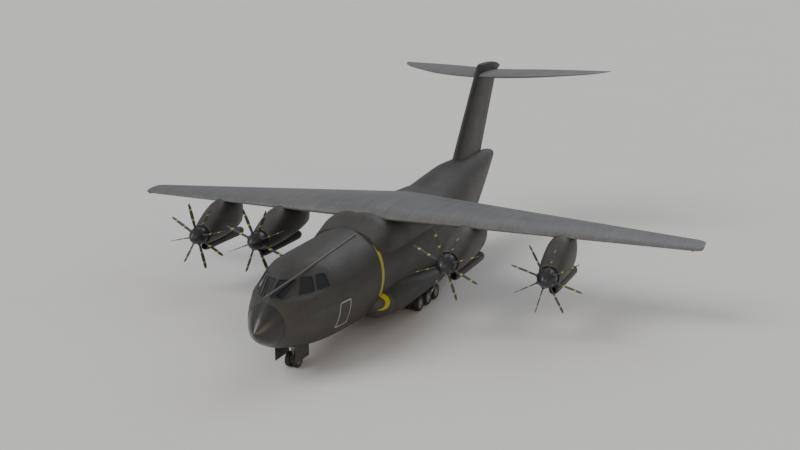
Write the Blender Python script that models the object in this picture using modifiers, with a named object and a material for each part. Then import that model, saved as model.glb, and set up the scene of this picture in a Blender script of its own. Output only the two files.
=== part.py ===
"""Four-engine propeller transport aircraft, standing on its landing gear, at half its real size.

Sizes and places are the real aircraft's, in metres: x is across, positive to port; station runs
aft from the nose tip; height is above the ground. The model is made at SCALE of them, with its
nose towards -Y, port towards +X and the ground at Z = 0.
"""

from math import atan2, cos, hypot, pi, radians, sin, sqrt, tan

import bmesh
import bpy
from mathutils import Matrix, Vector

SCALE = 0.5
LENGTH = 44.0
REST = 0.0006       # gap between pieces that touch
RUN = 0.012         # gap round a moving piece
PLAY = 0.0006       # clearance of a pin in its bore
MERGE = 0.00002     # points of the model closer than this are one

HULL_WALL = 0.15
HULL_SIDES = 32
NOSE_JOINT = 1.38
CENTRE_START = 8.0
CENTRE_END = 26.5
TAIL_END = 40.0

FLOOR_TOP = 1.75
FLOOR_THICKNESS = 0.15
FLOOR_FRONT = 5.30
FLOOR_REAR = 26.95
DECK_TOP = 4.20
DECK_THICKNESS = 0.10
DECK_FRONT = 2.05
DECK_REAR = 6.70

DOOR_FRONT = 5.60
DOOR_REAR = 6.72
DOOR_SILL = 2.40
DOOR_HEAD = 4.05
DOOR_FRONT_RUN = 0.045  # the hinge line slants, so the front edge swings forward
HINGE_ROD = 0.035
HINGE_BLOCK = 0.15

RAMP_HINGE_STATION = 27.30
RAMP_HINGE_HEIGHT = 1.436
RAMP_NOSE = 0.31
RAMP_TIP = 32.50
RAMP_DEPTH = 0.42
RAMP_HALF_FRONT = 1.68
RAMP_HALF_REAR = 1.15
RAMP_SWING = 33.0
RAMP_SIDE_RUN = 0.035  # the ramp swings aft as it lowers, where its opening is narrower
CARGO_DOOR_REAR = 37.60
CARGO_DOOR_DEPTH = 0.28
CARGO_DOOR_HALF_REAR = 0.58
DOOR_RUN = 0.02

WING_HALF_SPAN = 21.2
WING_ROOT = 2.85
WING_STRAIGHT = 20.55
WING_UPPER = 0.66
FLAP_SWING = 35.0
AILERON_SWING = 25.0
ELEVATOR_SWING = 25.0
RUDDER_SWING = 25.0
HINGE_FRACTION = 0.73

FIN_FOOT = 7.0
FIN_MIDDLE = 10.4
FIN_JOINT = 13.76
FIN_TOP = 14.68
CAP_FALL = 0.55
RUDDER_FOOT = 8.42
RUDDER_HEAD = 13.10

PROP_BLADES = 8
SPINNER_RADIUS = 0.62
PROP_SHAFT = 0.12
PROP_SHAFT_REAR = 1.14
ENGINE_RADIUS = 0.46
ENGINE_FRONT = 0.90
ENGINE_REAR = 4.40
CHIN_DROP = 1.03
CHIN_RADIUS = 0.33
CHIN_OFFSET = 0.165
CHIN_FRONT = 1.05

MAIN_TRACK = 5.20
MAIN_AXLES = (16.85, 18.30, 19.75)
MAIN_TYRE = 0.545
WELL_TOP = 1.80
WELL_MARGIN = 0.63
WELL_HALF_WIDTH = 0.56
NOSE_AXLE = 4.45
NOSE_TYRE = 0.47
PISTON_TOP = 1.50
BAY_FRONT = 3.40
BAY_REAR = 5.15
BAY_HALF = 0.58
BAY_TOP = 1.98
BAY_WALL = 0.04

# station, half width, bottom, top, squareness of the lower half, squareness of the upper half
HULL = (
    (0.00, 0.04, 3.43, 3.51, 2.0, 2.0),
    (0.35, 0.45, 3.03, 3.93, 2.0, 2.0),
    (0.80, 0.83, 2.66, 4.38, 2.0, 2.0),
    (1.38, 1.21, 2.34, 4.87, 2.0, 2.0),
    (2.00, 1.56, 2.05, 5.38, 2.0, 2.0),
    (2.81, 1.92, 1.79, 5.90, 2.0, 2.1),
    (4.00, 2.34, 1.45, 6.46, 2.0, 2.2),
    (5.00, 2.56, 1.24, 6.66, 2.0, 2.2),
    (6.50, 2.75, 1.04, 6.76, 2.0, 2.1),
    (8.00, 2.83, 0.93, 6.82, 2.0, 2.0),
    (9.50, 2.88, 0.88, 6.84, 2.0, 2.0),
    (14.00, 2.88, 0.87, 6.85, 2.5, 2.0),
    (23.00, 2.88, 0.87, 6.85, 3.0, 2.0),
    (26.50, 2.70, 0.87, 7.20, 3.6, 2.0),
    (28.00, 2.50, 1.35, 7.40, 3.6, 2.0),
    (30.50, 2.08, 2.45, 7.66, 3.6, 2.0),
    (33.00, 1.68, 3.55, 7.60, 3.4, 2.0),
    (36.00, 1.20, 4.90, 7.45, 2.8, 2.0),
    (38.50, 0.72, 6.00, 7.30, 2.2, 2.0),
    (39.60, 0.45, 6.50, 7.15, 2.0, 2.0),
    (40.00, 0.15, 6.72, 6.98, 2.0, 2.0),
)

# station, centre across, widest height, half width, depth below and rise above it, of a gear sponson
SPONSON = (
    (10.30, 1.95, 2.00, 0.12, 0.12, 0.12),
    (10.80, 1.98, 2.05, 0.62, 0.58, 0.95),
    (11.50, 2.02, 2.10, 1.05, 0.92, 1.45),
    (12.60, 2.06, 2.10, 1.32, 1.10, 1.40),
    (14.50, 2.08, 2.05, 1.40, 1.15, 1.15),
    (17.00, 2.08, 2.00, 1.40, 1.10, 0.70),
    (19.75, 2.08, 1.95, 1.38, 1.05, 0.38),
    (21.50, 2.05, 1.90, 1.25, 0.95, 0.30),
    (23.50, 1.98, 1.85, 0.75, 0.60, 0.25),
    (25.00, 1.90, 1.80, 0.12, 0.12, 0.12),
)

# station, half width, top of the wing fairing
FAIRING = (
    (11.40, 2.40, 6.80),
    (12.30, 2.52, 7.14),
    (13.20, 2.60, 7.46),
    (15.00, 2.62, 7.56),
    (18.00, 2.62, 7.36),
    (21.00, 2.60, 7.08),
    (23.00, 2.50, 6.98),
    (25.00, 2.38, 6.90),
)
FAIRING_WAIST = 5.0

# aft of the propeller disc, half width, bottom and top from the shaft, for an engine nacelle
NACELLE = (
    (0.60, 0.70, -0.70, 0.70),
    (1.20, 0.80, -0.76, 1.12),
    (2.00, 0.86, -0.78, 1.62),
    (2.90, 0.88, -0.76, 1.96),
    (4.40, 0.84, -0.68, 2.02),
    (6.00, 0.66, -0.52, 1.98),
    (7.20, 0.36, -0.36, 1.94),
    (7.75, 0.10, -0.26, 1.92),
)

# name, then across, station and height of the propeller disc, turn of its first blade,
# rear of the chin tube, rear of the nacelle, and share of the crown's rise
ENGINES = (
    ("port_outer", 12.71, 13.74, 4.38, 29.3, 6.20, 6.00, 1.00),
    ("port_inner", 6.77, 11.80, 5.13, 19.6, 6.35, 7.50, 0.78),
    ("starboard_inner", -6.77, 11.80, 5.13, 24.1, 6.35, 7.50, 0.78),
    ("starboard_outer", -12.71, 13.74, 4.38, 14.6, 6.20, 6.00, 1.00),
)
NACELLE_STRAIGHT = 2.90

# radius, chord, thickness and pitch of a propeller blade
BLADE = (
    (0.42, 0.20, 0.120, 96.0),
    (0.95, 0.32, 0.075, 93.0),
    (1.60, 0.38, 0.050, 90.0),
    (2.20, 0.32, 0.035, 87.0),
    (2.37, 0.14, 0.020, 86.0),
)

# across, leading edge, trailing edge, thickness of the tailplane
TAILPLANE = (
    (0.00, 36.10, 41.80, 0.52),
    (1.00, 36.15, 42.10, 0.50),
    (3.75, 37.10, 43.00, 0.42),
    (6.30, 39.20, 43.55, 0.30),
    (8.50, 41.70, 43.85, 0.16),
    (9.20, 43.20, 43.95, 0.07),
    (9.35, 43.80, 44.00, 0.03),
)

# height, share of the fin's chord and share of its thickness, for the fin cap
CAP = (
    (FIN_JOINT, 1.000, 1.00),
    (14.30, 1.000, 1.00),
    (14.52, 0.985, 0.90),
    (14.63, 0.955, 0.70),
    (FIN_TOP, 0.900, 0.36),
)

# name of the moving surface, inner end and outer end of its span across, swing up, swing down
WING_SURFACES = (
    ("flap_inner", 3.05, 8.60, 0.0, FLAP_SWING),
    ("flap_outer", 8.80, 14.55, 0.0, FLAP_SWING),
    ("aileron", 14.75, 20.20, AILERON_SWING, AILERON_SWING),
)
ELEVATOR_SPAN = (0.70, 6.60)

# name, then across, station and height of the corners in order round the pane
WINDOWS = (
    ("front", ((0.08, 1.70, 5.13), (0.08, 2.80, 5.89), (0.95, 3.30, 5.94), (0.72, 1.97, 5.17))),
    ("side", ((1.45, 2.79, 5.21), (1.12, 3.59, 5.99), (1.56, 4.17, 5.97), (1.94, 3.71, 5.23))),
    ("rear", ((2.05, 3.95, 5.24), (1.64, 4.45, 5.98), (1.87, 5.03, 5.92), (2.30, 4.91, 5.22))),
)

# station and distance across of the refuelling probe where it lies on the crown
PROBE = ((10.86, 1.04), (8.23, 1.17), (5.88, 1.25), (4.85, 1.23), (4.02, 1.13))
PROBE_TIP = (0.15, 0.91, 5.36)
PROBE_RADIUS = 0.06

PAINT = (0.075, 0.075, 0.072)
DARK = (0.035, 0.037, 0.042)
GLASS = (0.03, 0.04, 0.05)
METAL = (0.25, 0.25, 0.26)
RUBBER = (0.02, 0.02, 0.02)


def place(across, station, height):
    """Point of the model for a real place."""
    return Vector((across, station - LENGTH / 2, height)) * SCALE


def between(table, key):
    """Row of a table at any key in its first column, read straight between its rows."""
    for low, high in zip(table, table[1:]):
        if key <= high[0]:
            break
    part = (key - low[0]) / (high[0] - low[0])
    return tuple(a + (b - a) * part for a, b in zip(low, high))


def stations(table, start, end):
    """Keys of a table strictly inside a range, with the two ends."""
    return [start] + [row[0] for row in table if start + 0.02 < row[0] < end - 0.02] + [end]


def material(name, colour, roughness, metallic):
    """Principled material with one colour."""
    made = bpy.data.materials.new(name)
    made.use_nodes = True
    shader = made.node_tree.nodes["Principled BSDF"]
    shader.inputs["Base Color"].default_value = (*colour, 1.0)
    shader.inputs["Roughness"].default_value = roughness
    shader.inputs["Metallic"].default_value = metallic
    made.diffuse_color = (*colour, 1.0)
    return made


def start_scene():
    """Empty the scene and make the two collections."""
    for old in list(bpy.data.objects):
        bpy.data.objects.remove(old, do_unlink=True)
    parts = bpy.data.collections.new("transport_aircraft")
    tools = bpy.data.collections.new("cutters")
    for made in (parts, tools):
        bpy.context.scene.collection.children.link(made)
    return parts, tools


PARTS, TOOLS = start_scene()


def add_object(name, mesh, colour, origin=None):
    """Object of the model, or a tool where it has no colour."""
    obj = bpy.data.objects.new(name, mesh)
    if origin is not None:
        mesh.transform(Matrix.Translation(-origin))
        obj.location = origin
    if colour is None:
        obj.hide_render = True
        obj.display_type = "WIRE"
        TOOLS.objects.link(obj)
    else:
        finish, rough, metal = colour
        mesh.materials.append(material(name, finish, rough, metal))
        PARTS.objects.link(obj)
    return obj


def finish_mesh(name, bm, colour, origin=None):
    """Close and orient a bmesh, and give it an object."""
    bmesh.ops.remove_doubles(bm, verts=bm.verts, dist=MERGE)
    bmesh.ops.recalc_face_normals(bm, faces=bm.faces)
    mesh = bpy.data.meshes.new(name)
    bm.to_mesh(mesh)
    bm.free()
    return add_object(name, mesh, colour, origin)


def add_loft(bm, rings, close_start=True, close_end=True):
    """Skin a list of rings of equal count into a bmesh."""
    rows = [[bm.verts.new(point) for point in ring] for ring in rings]
    for low, high in zip(rows, rows[1:]):
        for i, vert in enumerate(low):
            j = (i + 1) % len(low)
            bm.faces.new((vert, low[j], high[j]))
            bm.faces.new((vert, high[j], high[i]))
    if close_start:
        bm.faces.new(rows[0])
    if close_end:
        bm.faces.new(rows[-1])
    return rows


def loft(name, rings, colour=None, origin=None):
    """Closed solid skinned through rings."""
    bm = bmesh.new()
    add_loft(bm, rings)
    return finish_mesh(name, bm, colour, origin)


def box(name, low, high, colour=None, origin=None):
    """Box between two real corners."""
    a = place(*low)
    b = place(*high)
    bm = bmesh.new()
    size = b - a
    bmesh.ops.create_cube(bm, size=1.0)
    bmesh.ops.scale(bm, vec=[abs(v) for v in size], verts=bm.verts)
    bmesh.ops.translate(bm, vec=(a + b) / 2, verts=bm.verts)
    return finish_mesh(name, bm, colour, origin)


def rod(name, start, end, radius, sides=12, colour=None, origin=None):
    """Straight round bar between two points of the model."""
    bm = bmesh.new()
    axis = end - start
    turn = axis.to_track_quat("Z", "Y").to_matrix().to_4x4()
    bmesh.ops.create_cone(bm, cap_ends=True, segments=sides, radius1=radius * SCALE,
                          radius2=radius * SCALE, depth=axis.length,
                          matrix=Matrix.Translation((start + end) / 2) @ turn)
    return finish_mesh(name, bm, colour, origin)


def turned(name, profile, centre, direction, steps, colour, origin=None):
    """Solid turned from (along, radius) points about an axis of the model."""
    mesh = bpy.data.meshes.new(name)
    points = [(radius * SCALE, 0.0, -along * SCALE) for along, radius in profile]
    mesh.from_pydata(points, [(i, i + 1) for i in range(len(points) - 1)], [])
    obj = bpy.data.objects.new(name, mesh)
    bpy.context.scene.collection.objects.link(obj)
    screw = obj.modifiers.new("turn", "SCREW")
    screw.axis = "Z"
    screw.steps = steps
    screw.render_steps = steps
    screw.use_merge_vertices = True
    screw.merge_threshold = 0.00001
    shape = bpy.data.meshes.new_from_object(obj.evaluated_get(bpy.context.evaluated_depsgraph_get()))
    bpy.data.objects.remove(obj, do_unlink=True)
    bm = bmesh.new()
    bm.from_mesh(shape)
    turn = (-Vector(direction)).to_track_quat("Z", "Y").to_matrix().to_4x4()
    bmesh.ops.transform(bm, matrix=Matrix.Translation(centre) @ turn, verts=bm.verts)
    return finish_mesh(name, bm, colour, origin)


def as_mesh(curve):
    """Welded bmesh of a curve."""
    guide = bpy.data.objects.new(curve.name, curve)
    bpy.context.scene.collection.objects.link(guide)
    shape = bpy.data.meshes.new_from_object(
        guide.evaluated_get(bpy.context.evaluated_depsgraph_get()))
    bpy.data.objects.remove(guide, do_unlink=True)
    bm = bmesh.new()
    bm.from_mesh(shape)
    return bm


def plate(name, outline, across, thickness, colour=None, origin=None):
    """Flat outline of (station, height) points, given a thickness across."""
    curve = bpy.data.curves.new(name, "CURVE")
    curve.dimensions = "2D"
    curve.fill_mode = "BOTH"
    curve.extrude = thickness * SCALE / 2
    spline = curve.splines.new("POLY")
    spline.points.add(len(outline) - 1)
    for point, (station, height) in zip(spline.points, outline):
        point.co = ((station - LENGTH / 2) * SCALE, height * SCALE, 0.0, 1.0)
    spline.use_cyclic_u = True
    bm = as_mesh(curve)
    upright = Matrix(((0, 0, 1, across * SCALE), (1, 0, 0, 0), (0, 1, 0, 0), (0, 0, 0, 1)))
    bmesh.ops.transform(bm, matrix=upright, verts=bm.verts)
    return finish_mesh(name, bm, colour, origin)


def combine(target, tool, operation):
    """Give an object a Boolean with a tool, which stays as a guide."""
    step = target.modifiers.new(tool.name, "BOOLEAN")
    step.operation = operation
    step.object = tool
    step.solver = "EXACT"
    return target


def cut(target, tool):
    """Take a tool's shape out of an object."""
    return combine(target, tool, "DIFFERENCE")


def fuse(target, tool):
    """Join a tool's shape to an object."""
    return combine(target, tool, "UNION")


def keep(target, tool):
    """Keep what lies inside a tool's shape."""
    return combine(target, tool, "INTERSECT")


def pin_joint(leaf, host, first, last, radius, reach):
    """Round pin of a leaf out past both ends of its hinge line, and its bores in what holds it."""
    along = (last - first).normalized() * SCALE
    fuse(leaf, rod(leaf.name + "_pin", first - along * reach, last + along * reach, radius, 10))
    reach += PLAY
    cut(host, rod(leaf.name + "_bore", first - along * reach, last + along * reach,
                  radius / cos(pi / 10) + PLAY, 10))


def superellipse(count, half_width, below, above, lower, upper):
    """Ring of (across, height) points about a waist at zero."""
    ring = []
    for i in range(count):
        angle = 2 * pi * i / count
        c = cos(angle)
        s = sin(angle)
        power = 2 / (upper if s >= 0 else lower)
        x = half_width * (abs(c) ** power) * (1 if c >= 0 else -1)
        ring.append((x, (above if s >= 0 else -below) * abs(s) ** power))
    return ring


def hull_ring(station, inset=0.0):
    """Ring of model points round the fuselage at a station, inside it by an inset."""
    _, width, bottom, top, lower, upper = between(HULL, station)
    waist = (bottom + top) / 2
    half = (top - bottom) / 2 - inset
    ring = superellipse(HULL_SIDES, width - inset, half, half, lower, upper)
    return [place(x, station, waist + z) for x, z in ring]


def hull_across(station, height):
    """Half width of the fuselage's skin at a station and height."""
    _, width, bottom, top, lower, upper = between(HULL, station)
    waist = (bottom + top) / 2
    power = upper if height > waist else lower
    share = min(1.0, abs(height - waist) * 2 / (top - bottom))
    return width * (1 - share ** power) ** (1 / power)


def hull_crown(station, across):
    """Height of the fuselage's upper skin at a station, off its centre by a distance across."""
    _, width, bottom, top, _, upper = between(HULL, station)
    share = min(1.0, abs(across) / width)
    return (bottom + top) / 2 + (top - bottom) / 2 * (1 - share ** upper) ** (1 / upper)


def hull_solid(name, start, end, inset):
    """Solid of the fuselage's form over the rows that hold two stations, smaller by an inset."""
    rows = [row[0] for row in HULL]
    first = max(s for s in rows if s <= start)
    last = min(s for s in rows if s >= end)
    return loft(name, [hull_ring(s, inset) for s in rows if first <= s <= last])


def hull_shell(name, start, end, colour, closed_front=False, closed_rear=False):
    """Fuselage barrel with a wall, open at its joints and closed where it ends."""
    bm = bmesh.new()
    outer = add_loft(bm, [hull_ring(s) for s in stations(HULL, start, end)], closed_front, closed_rear)
    first = start + HULL_WALL if closed_front else start
    last = end - 5 * HULL_WALL if closed_rear else end
    inner = add_loft(bm, [hull_ring(s, HULL_WALL) for s in stations(HULL, first, last)],
                     closed_front, closed_rear)
    for is_closed, row_a, row_b in ((closed_front, outer[0], inner[0]), (closed_rear, outer[-1], inner[-1])):
        if is_closed:
            continue
        for i, vert in enumerate(row_a):
            j = (i + 1) % len(row_a)
            bm.faces.new((vert, row_a[j], row_b[j], row_b[i]))
    return finish_mesh(name, bm, colour)


def thickness_share(part):
    """Half thickness of a closed symmetric aerofoil at a share of its chord, 0.5 at its thickest."""
    return 5 * (0.2969 * sqrt(part) - 0.1260 * part - 0.3516 * part ** 2
                + 0.2843 * part ** 3 - 0.1036 * part ** 4)


class Panel:
    """Lifting surface read along its span: its edges, its middle height and its thickness."""

    def __init__(self, edges, middle, thickness, upper):
        self.edges = edges
        self.middle = middle
        self.thickness = thickness
        self.upper = upper

    def skin(self, span, station, grow=0.0):
        """Height of the upper and lower skin at a place."""
        front, rear = self.edges(span)
        part = min(1.0, max(0.0, (station - front) / (rear - front)))
        half = thickness_share(part) * self.thickness(span)
        middle = self.middle(span, part)
        return middle + 2 * half * self.upper + grow, middle - 2 * half * (1 - self.upper) - grow

    def ring(self, span, grow=0.0, count=11):
        """Closed ring of (station, height) points of the whole section at a span."""
        front, rear = self.edges(span)
        over = []
        under = []
        for i in range(count + 1):
            part = (1 - cos(pi * i / count)) / 2
            station = front + (rear - front) * part
            high, low = self.skin(span, station, grow)
            if i == 0:
                over.append((station - 1.5 * grow, (high + low) / 2))
            elif i == count:
                over.append((station + 1.5 * grow, high + 0.006))
                under.append((station + 1.5 * grow, low - 0.006))
            else:
                over.append((station, high))
                under.append((station, low))
        return over + under[::-1]


def wing_edges(span):
    """Leading and trailing edge of the wing."""
    return 13.15 + 0.297 * abs(span), 21.865 - 0.031 * abs(span)


def wing_middle(span, part):
    """Height of the wing between its edges."""
    front = 7.264 - 0.079 * abs(span)
    rear = 7.079 - 0.058 * abs(span)
    return front + (rear - front) * part


def wing_thickness(span):
    """Greatest thickness of the wing."""
    return 1.02 + (0.22 - 1.02) * abs(span) / WING_HALF_SPAN


def tail_edges(span):
    """Leading and trailing edge of the tailplane."""
    _, front, rear, _ = between(TAILPLANE, abs(span))
    return front, rear


def tail_thickness(span):
    """Greatest thickness of the tailplane."""
    return between(TAILPLANE, abs(span))[3]


def fin_edges(height):
    """Leading and trailing edge of the fin."""
    part = (height - 7.75) / (FIN_TOP - 7.75)
    return 31.10 + 5.35 * part, 37.70 + 4.00 * part


def fin_thickness(height):
    """Greatest thickness of the fin."""
    return 0.80 - 0.20 * (height - 7.75) / (FIN_TOP - 7.75)


WING = Panel(wing_edges, wing_middle, wing_thickness, WING_UPPER)
TAIL = Panel(tail_edges, lambda span, part: FIN_JOINT, tail_thickness, 0.55)
FIN = Panel(fin_edges, lambda height, part: 0.0, fin_thickness, 0.5)


def flat_ring(panel, span, grow=0.0, side=1, squeeze=1.0, shift=0.0):
    """Model points of a wing or tailplane section, with its edges drawn in near a tip."""
    ring = panel.ring(span, grow)
    middle = sum(s for s, _ in ring) / len(ring) + shift
    level = panel.middle(span, 0.5)
    return [place(side * span, middle + (s - middle) * squeeze, level + (z - level) * squeeze) for s, z in ring]


def upright_ring(height, length=1.0, width=1.0, fall=0.0):
    """Model points of a fin section, drawn in, and lower towards its rear by a share of its rise."""
    ring = FIN.ring(height)
    middle = sum(s for s, _ in ring) / len(ring)
    front, rear = FIN.edges(height)
    rise = height - FIN_JOINT
    return [place(z * width, middle + (s - middle) * length,
                  height - rise * fall * ((s - front) / (rear - front)) ** 2) for s, z in ring]


def hinge_place(panel, span, side, upright):
    """Model point of a moving surface's hinge, and its skin's half thickness there."""
    front, rear = panel.edges(span)
    station = front + (rear - front) * HINGE_FRACTION
    high, low = panel.skin(span, station)
    middle = (high + low) / 2
    point = place(middle, station, span) if upright else place(side * span, station, middle)
    return point, (high - low) / 2


def surface_frames(panel, start, end, side, upright, count):
    """Frames along a hinge: its point, its aft and up directions, and the local half thickness."""
    first, _ = hinge_place(panel, start, side, upright)
    last, _ = hinge_place(panel, end, side, upright)
    along = (last - first).normalized()
    aft = (Vector((0, 1, 0)) - along * along.y).normalized()
    up = along.cross(aft) if upright else aft.cross(along)
    if not upright and up.z < 0:
        up = -up
    frames = []
    for i in range(count):
        part = i / (count - 1)
        span = start + (end - start) * part
        _, half = hinge_place(panel, span, side, upright)
        frames.append((first.lerp(last, part), aft, up, half, span))
    return frames, along


def chord_points(panel, frame, side, upright, shares):
    """Points of the upper and lower skin behind a hinge, in the plane square to it."""
    point, aft, up, half, span = frame
    over = []
    under = []
    for share in shares:
        reach = 0.0
        for _ in range(4):
            spot = point / SCALE + aft * reach
            here = spot.z if upright else side * spot.x
            front, rear = panel.edges(here)
            hinge = front + (rear - front) * HINGE_FRACTION
            target = hinge + (rear - hinge) * share - LENGTH / 2
            reach += (target - spot.y) / aft.y
        spot = point / SCALE + aft * reach
        here = spot.z if upright else side * spot.x
        high, low = panel.skin(here, spot.y + LENGTH / 2)
        level = spot.x if upright else spot.z
        over.append((reach, high - level + 0.004))
        under.append((reach, low - level - 0.004))
    return over, under


def moving_surface(name, panel, span, swing, host, side=1, upright=False, count=2, run=RUN):
    """Flap, aileron, elevator or rudder with its hinge pins, cut out of the panel that holds it."""
    up_swing, down_swing = swing
    frames, along = surface_frames(panel, span[0], span[1], side, upright, count)
    pin = 0.40 * min(half for _, _, _, half, _ in frames)
    rings = []
    openings = []
    for i, frame in enumerate(frames):
        point, aft, up, half, _ = frame
        inset = run * (1 if i == 0 else -1 if i == count - 1 else 0)
        centre = point + along * inset * SCALE
        nose = [(half * cos(a), half * sin(a)) for a in (radians(d) for d in range(90, 271, 36))]
        over, under = chord_points(panel, frame, side, upright, (0.35, 0.70, 1.0))
        ring = nose + under + over[::-1]
        rings.append([centre + (aft * a + up * b) * SCALE for a, b in ring])
        reach = half + run
        lip_over = half * tan(radians(up_swing) / 2) + run
        lip_under = half * tan(radians(down_swing) / 2) + run
        high = atan2(sqrt(max(0.0, reach ** 2 - lip_over ** 2)), -lip_over)
        low = 2 * pi - atan2(sqrt(max(0.0, reach ** 2 - lip_under ** 2)), -lip_under)
        cove = [(reach * cos(high + (low - high) * k / 5), reach * sin(high + (low - high) * k / 5))
                for k in range(6)]
        far = over[-1][0] + 0.6
        shape = [(far, 0.9), (-lip_over, 0.9)] + cove + [(-lip_under, -0.9), (far, -0.9)]
        openings.append([point + (aft * a + up * b) * SCALE for a, b in shape])
    first, last = frames[0][0], frames[-1][0]
    origin = first.lerp(last, 0.5)
    colour = (PAINT, 0.6, 0.0)
    surface = loft(name, rings, colour, origin)
    cut(host, loft(name + "_cove", openings))
    pin_joint(surface, host, first, last, pin, 0.07)
    return surface


def add_hull():
    """Radome and the three hollow barrels of the fuselage."""
    paint = (PAINT, 0.6, 0.0)
    rows = stations(HULL, 0.0, NOSE_JOINT - REST)
    loft("radome", [hull_ring(s) for s in rows], (DARK, 0.5, 0.0))
    nose = hull_shell("fuselage_nose", NOSE_JOINT, CENTRE_START - REST, paint, closed_front=True)
    centre = hull_shell("fuselage_centre", CENTRE_START, CENTRE_END - REST, paint)
    rear = hull_shell("fuselage_rear", CENTRE_END, TAIL_END, paint, closed_rear=True)
    return nose, centre, rear


def add_windows(nose):
    """Six flat panes, each with its own cut through the nose."""
    for name, corners in WINDOWS:
        for side_name, side in (("port", 1), ("starboard", -1)):
            spots = [place(side * across, station, height) for across, station, height in corners]
            middle = sum(spots, Vector()) / len(spots)
            normal = (spots[2] - spots[0]).cross(spots[3] - spots[1]).normalized()
            if normal.dot(middle - place(0, middle.y / SCALE + LENGTH / 2 + 0.4, 3.9)) < 0:
                normal = -normal
            flat = [spot - normal * normal.dot(spot - middle) for spot in spots]
            small = []
            for i, spot in enumerate(flat):
                before = (flat[i - 1] - spot).normalized()
                after = (flat[(i + 1) % 4] - spot).normalized()
                small.append(spot + (before + after) * REST * SCALE / abs(before.cross(after).length))
            opening = [[p + normal * d * SCALE for p in flat] for d in (-0.60, 0.40)]
            cut(nose, loft(f"window_{name}_{side_name}_opening", opening))
            pane = [[p + normal * d * SCALE for p in small] for d in (-0.08, 0.0)]
            loft(f"window_{name}_{side_name}", pane, (GLASS, 0.1, 0.0))


def add_crew_door(nose):
    """Entrance door on the port side, on a hinge rod along its sill."""
    base = hull_shell("crew_door", DOOR_FRONT - 0.6, DOOR_REAR + 0.6, (PAINT, 0.6, 0.0))
    axis_height = DOOR_SILL + 0.01
    ends = [place(hull_across(s, axis_height), s, axis_height) for s in (DOOR_FRONT, DOOR_REAR)]
    along = (ends[1] - ends[0]).normalized()
    keep(base, box("crew_door_edge", (1.0, DOOR_FRONT + DOOR_FRONT_RUN, axis_height + 0.002),
                   (3.4, DOOR_REAR - RUN, DOOR_HEAD - RUN)))
    for end, step in zip(ends, (-1, 1)):
        centre = end + along * step * (HINGE_BLOCK / 2) * SCALE
        block = box(f"crew_door_block_{step}", (-HINGE_BLOCK / 2, LENGTH / 2 - HINGE_BLOCK / 2, -HINGE_BLOCK / 2),
                    (HINGE_BLOCK / 2, LENGTH / 2 + HINGE_BLOCK / 2, HINGE_BLOCK / 2))
        block.location = centre
        fuse(nose, block)
    cut(nose, box("crew_door_opening", (1.0, DOOR_FRONT, axis_height - HINGE_ROD - RUN),
                  (3.4, DOOR_REAR, DOOR_HEAD)))
    pin_joint(base, nose, *ends, HINGE_ROD, 0.09)
    origin = (ends[0] + ends[1]) / 2
    base.data.transform(Matrix.Translation(-origin))
    base.location = origin


def ramp_profile(gap):
    """Outline of the ramp's side, larger by a gap, as (station, height) points."""
    station = RAMP_HINGE_STATION
    height = RAMP_HINGE_HEIGHT
    radius = RAMP_NOSE + gap
    tip_low = between(HULL, RAMP_TIP)[2]
    tip_top = tip_low + RAMP_DEPTH
    arm = hypot(RAMP_TIP - station, tip_low - height)
    tip_station = station + sqrt(arm ** 2 - (tip_top - height) ** 2)
    slope = (RAMP_TIP - tip_station) / (tip_top - tip_low)
    tip_top += gap
    points = [(tip_station + slope * -gap + gap, tip_top)]
    start = 90
    if gap:
        lip = RAMP_NOSE * tan(radians(RAMP_SWING) / 2) + gap
        end = 360 - (180 - (180 / pi) * atan2(sqrt(radius ** 2 - lip ** 2), lip))
    else:
        end = 270
    for k in range(7):
        angle = radians(start + (end - start) * k / 6)
        points.append((station + radius * cos(angle), height + radius * sin(angle)))
    points.append((points[-1][0], height - 1.5))
    points.append((RAMP_TIP + slope * (tip_low - height + 1.5) + gap, height - 1.5))
    return points, tip_station


def wedge_tool(name, outline, half_front, half_rear, front, rear):
    """Prism over an outline whose half width tapers from front to rear."""
    rings = []
    for side in (-1, 1):
        ring = []
        for station, height in outline:
            part = (station - front) / (rear - front)
            ring.append(place(side * (half_front + (half_rear - half_front) * part), station, height))
        rings.append(ring)
    return loft(name, rings)


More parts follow.
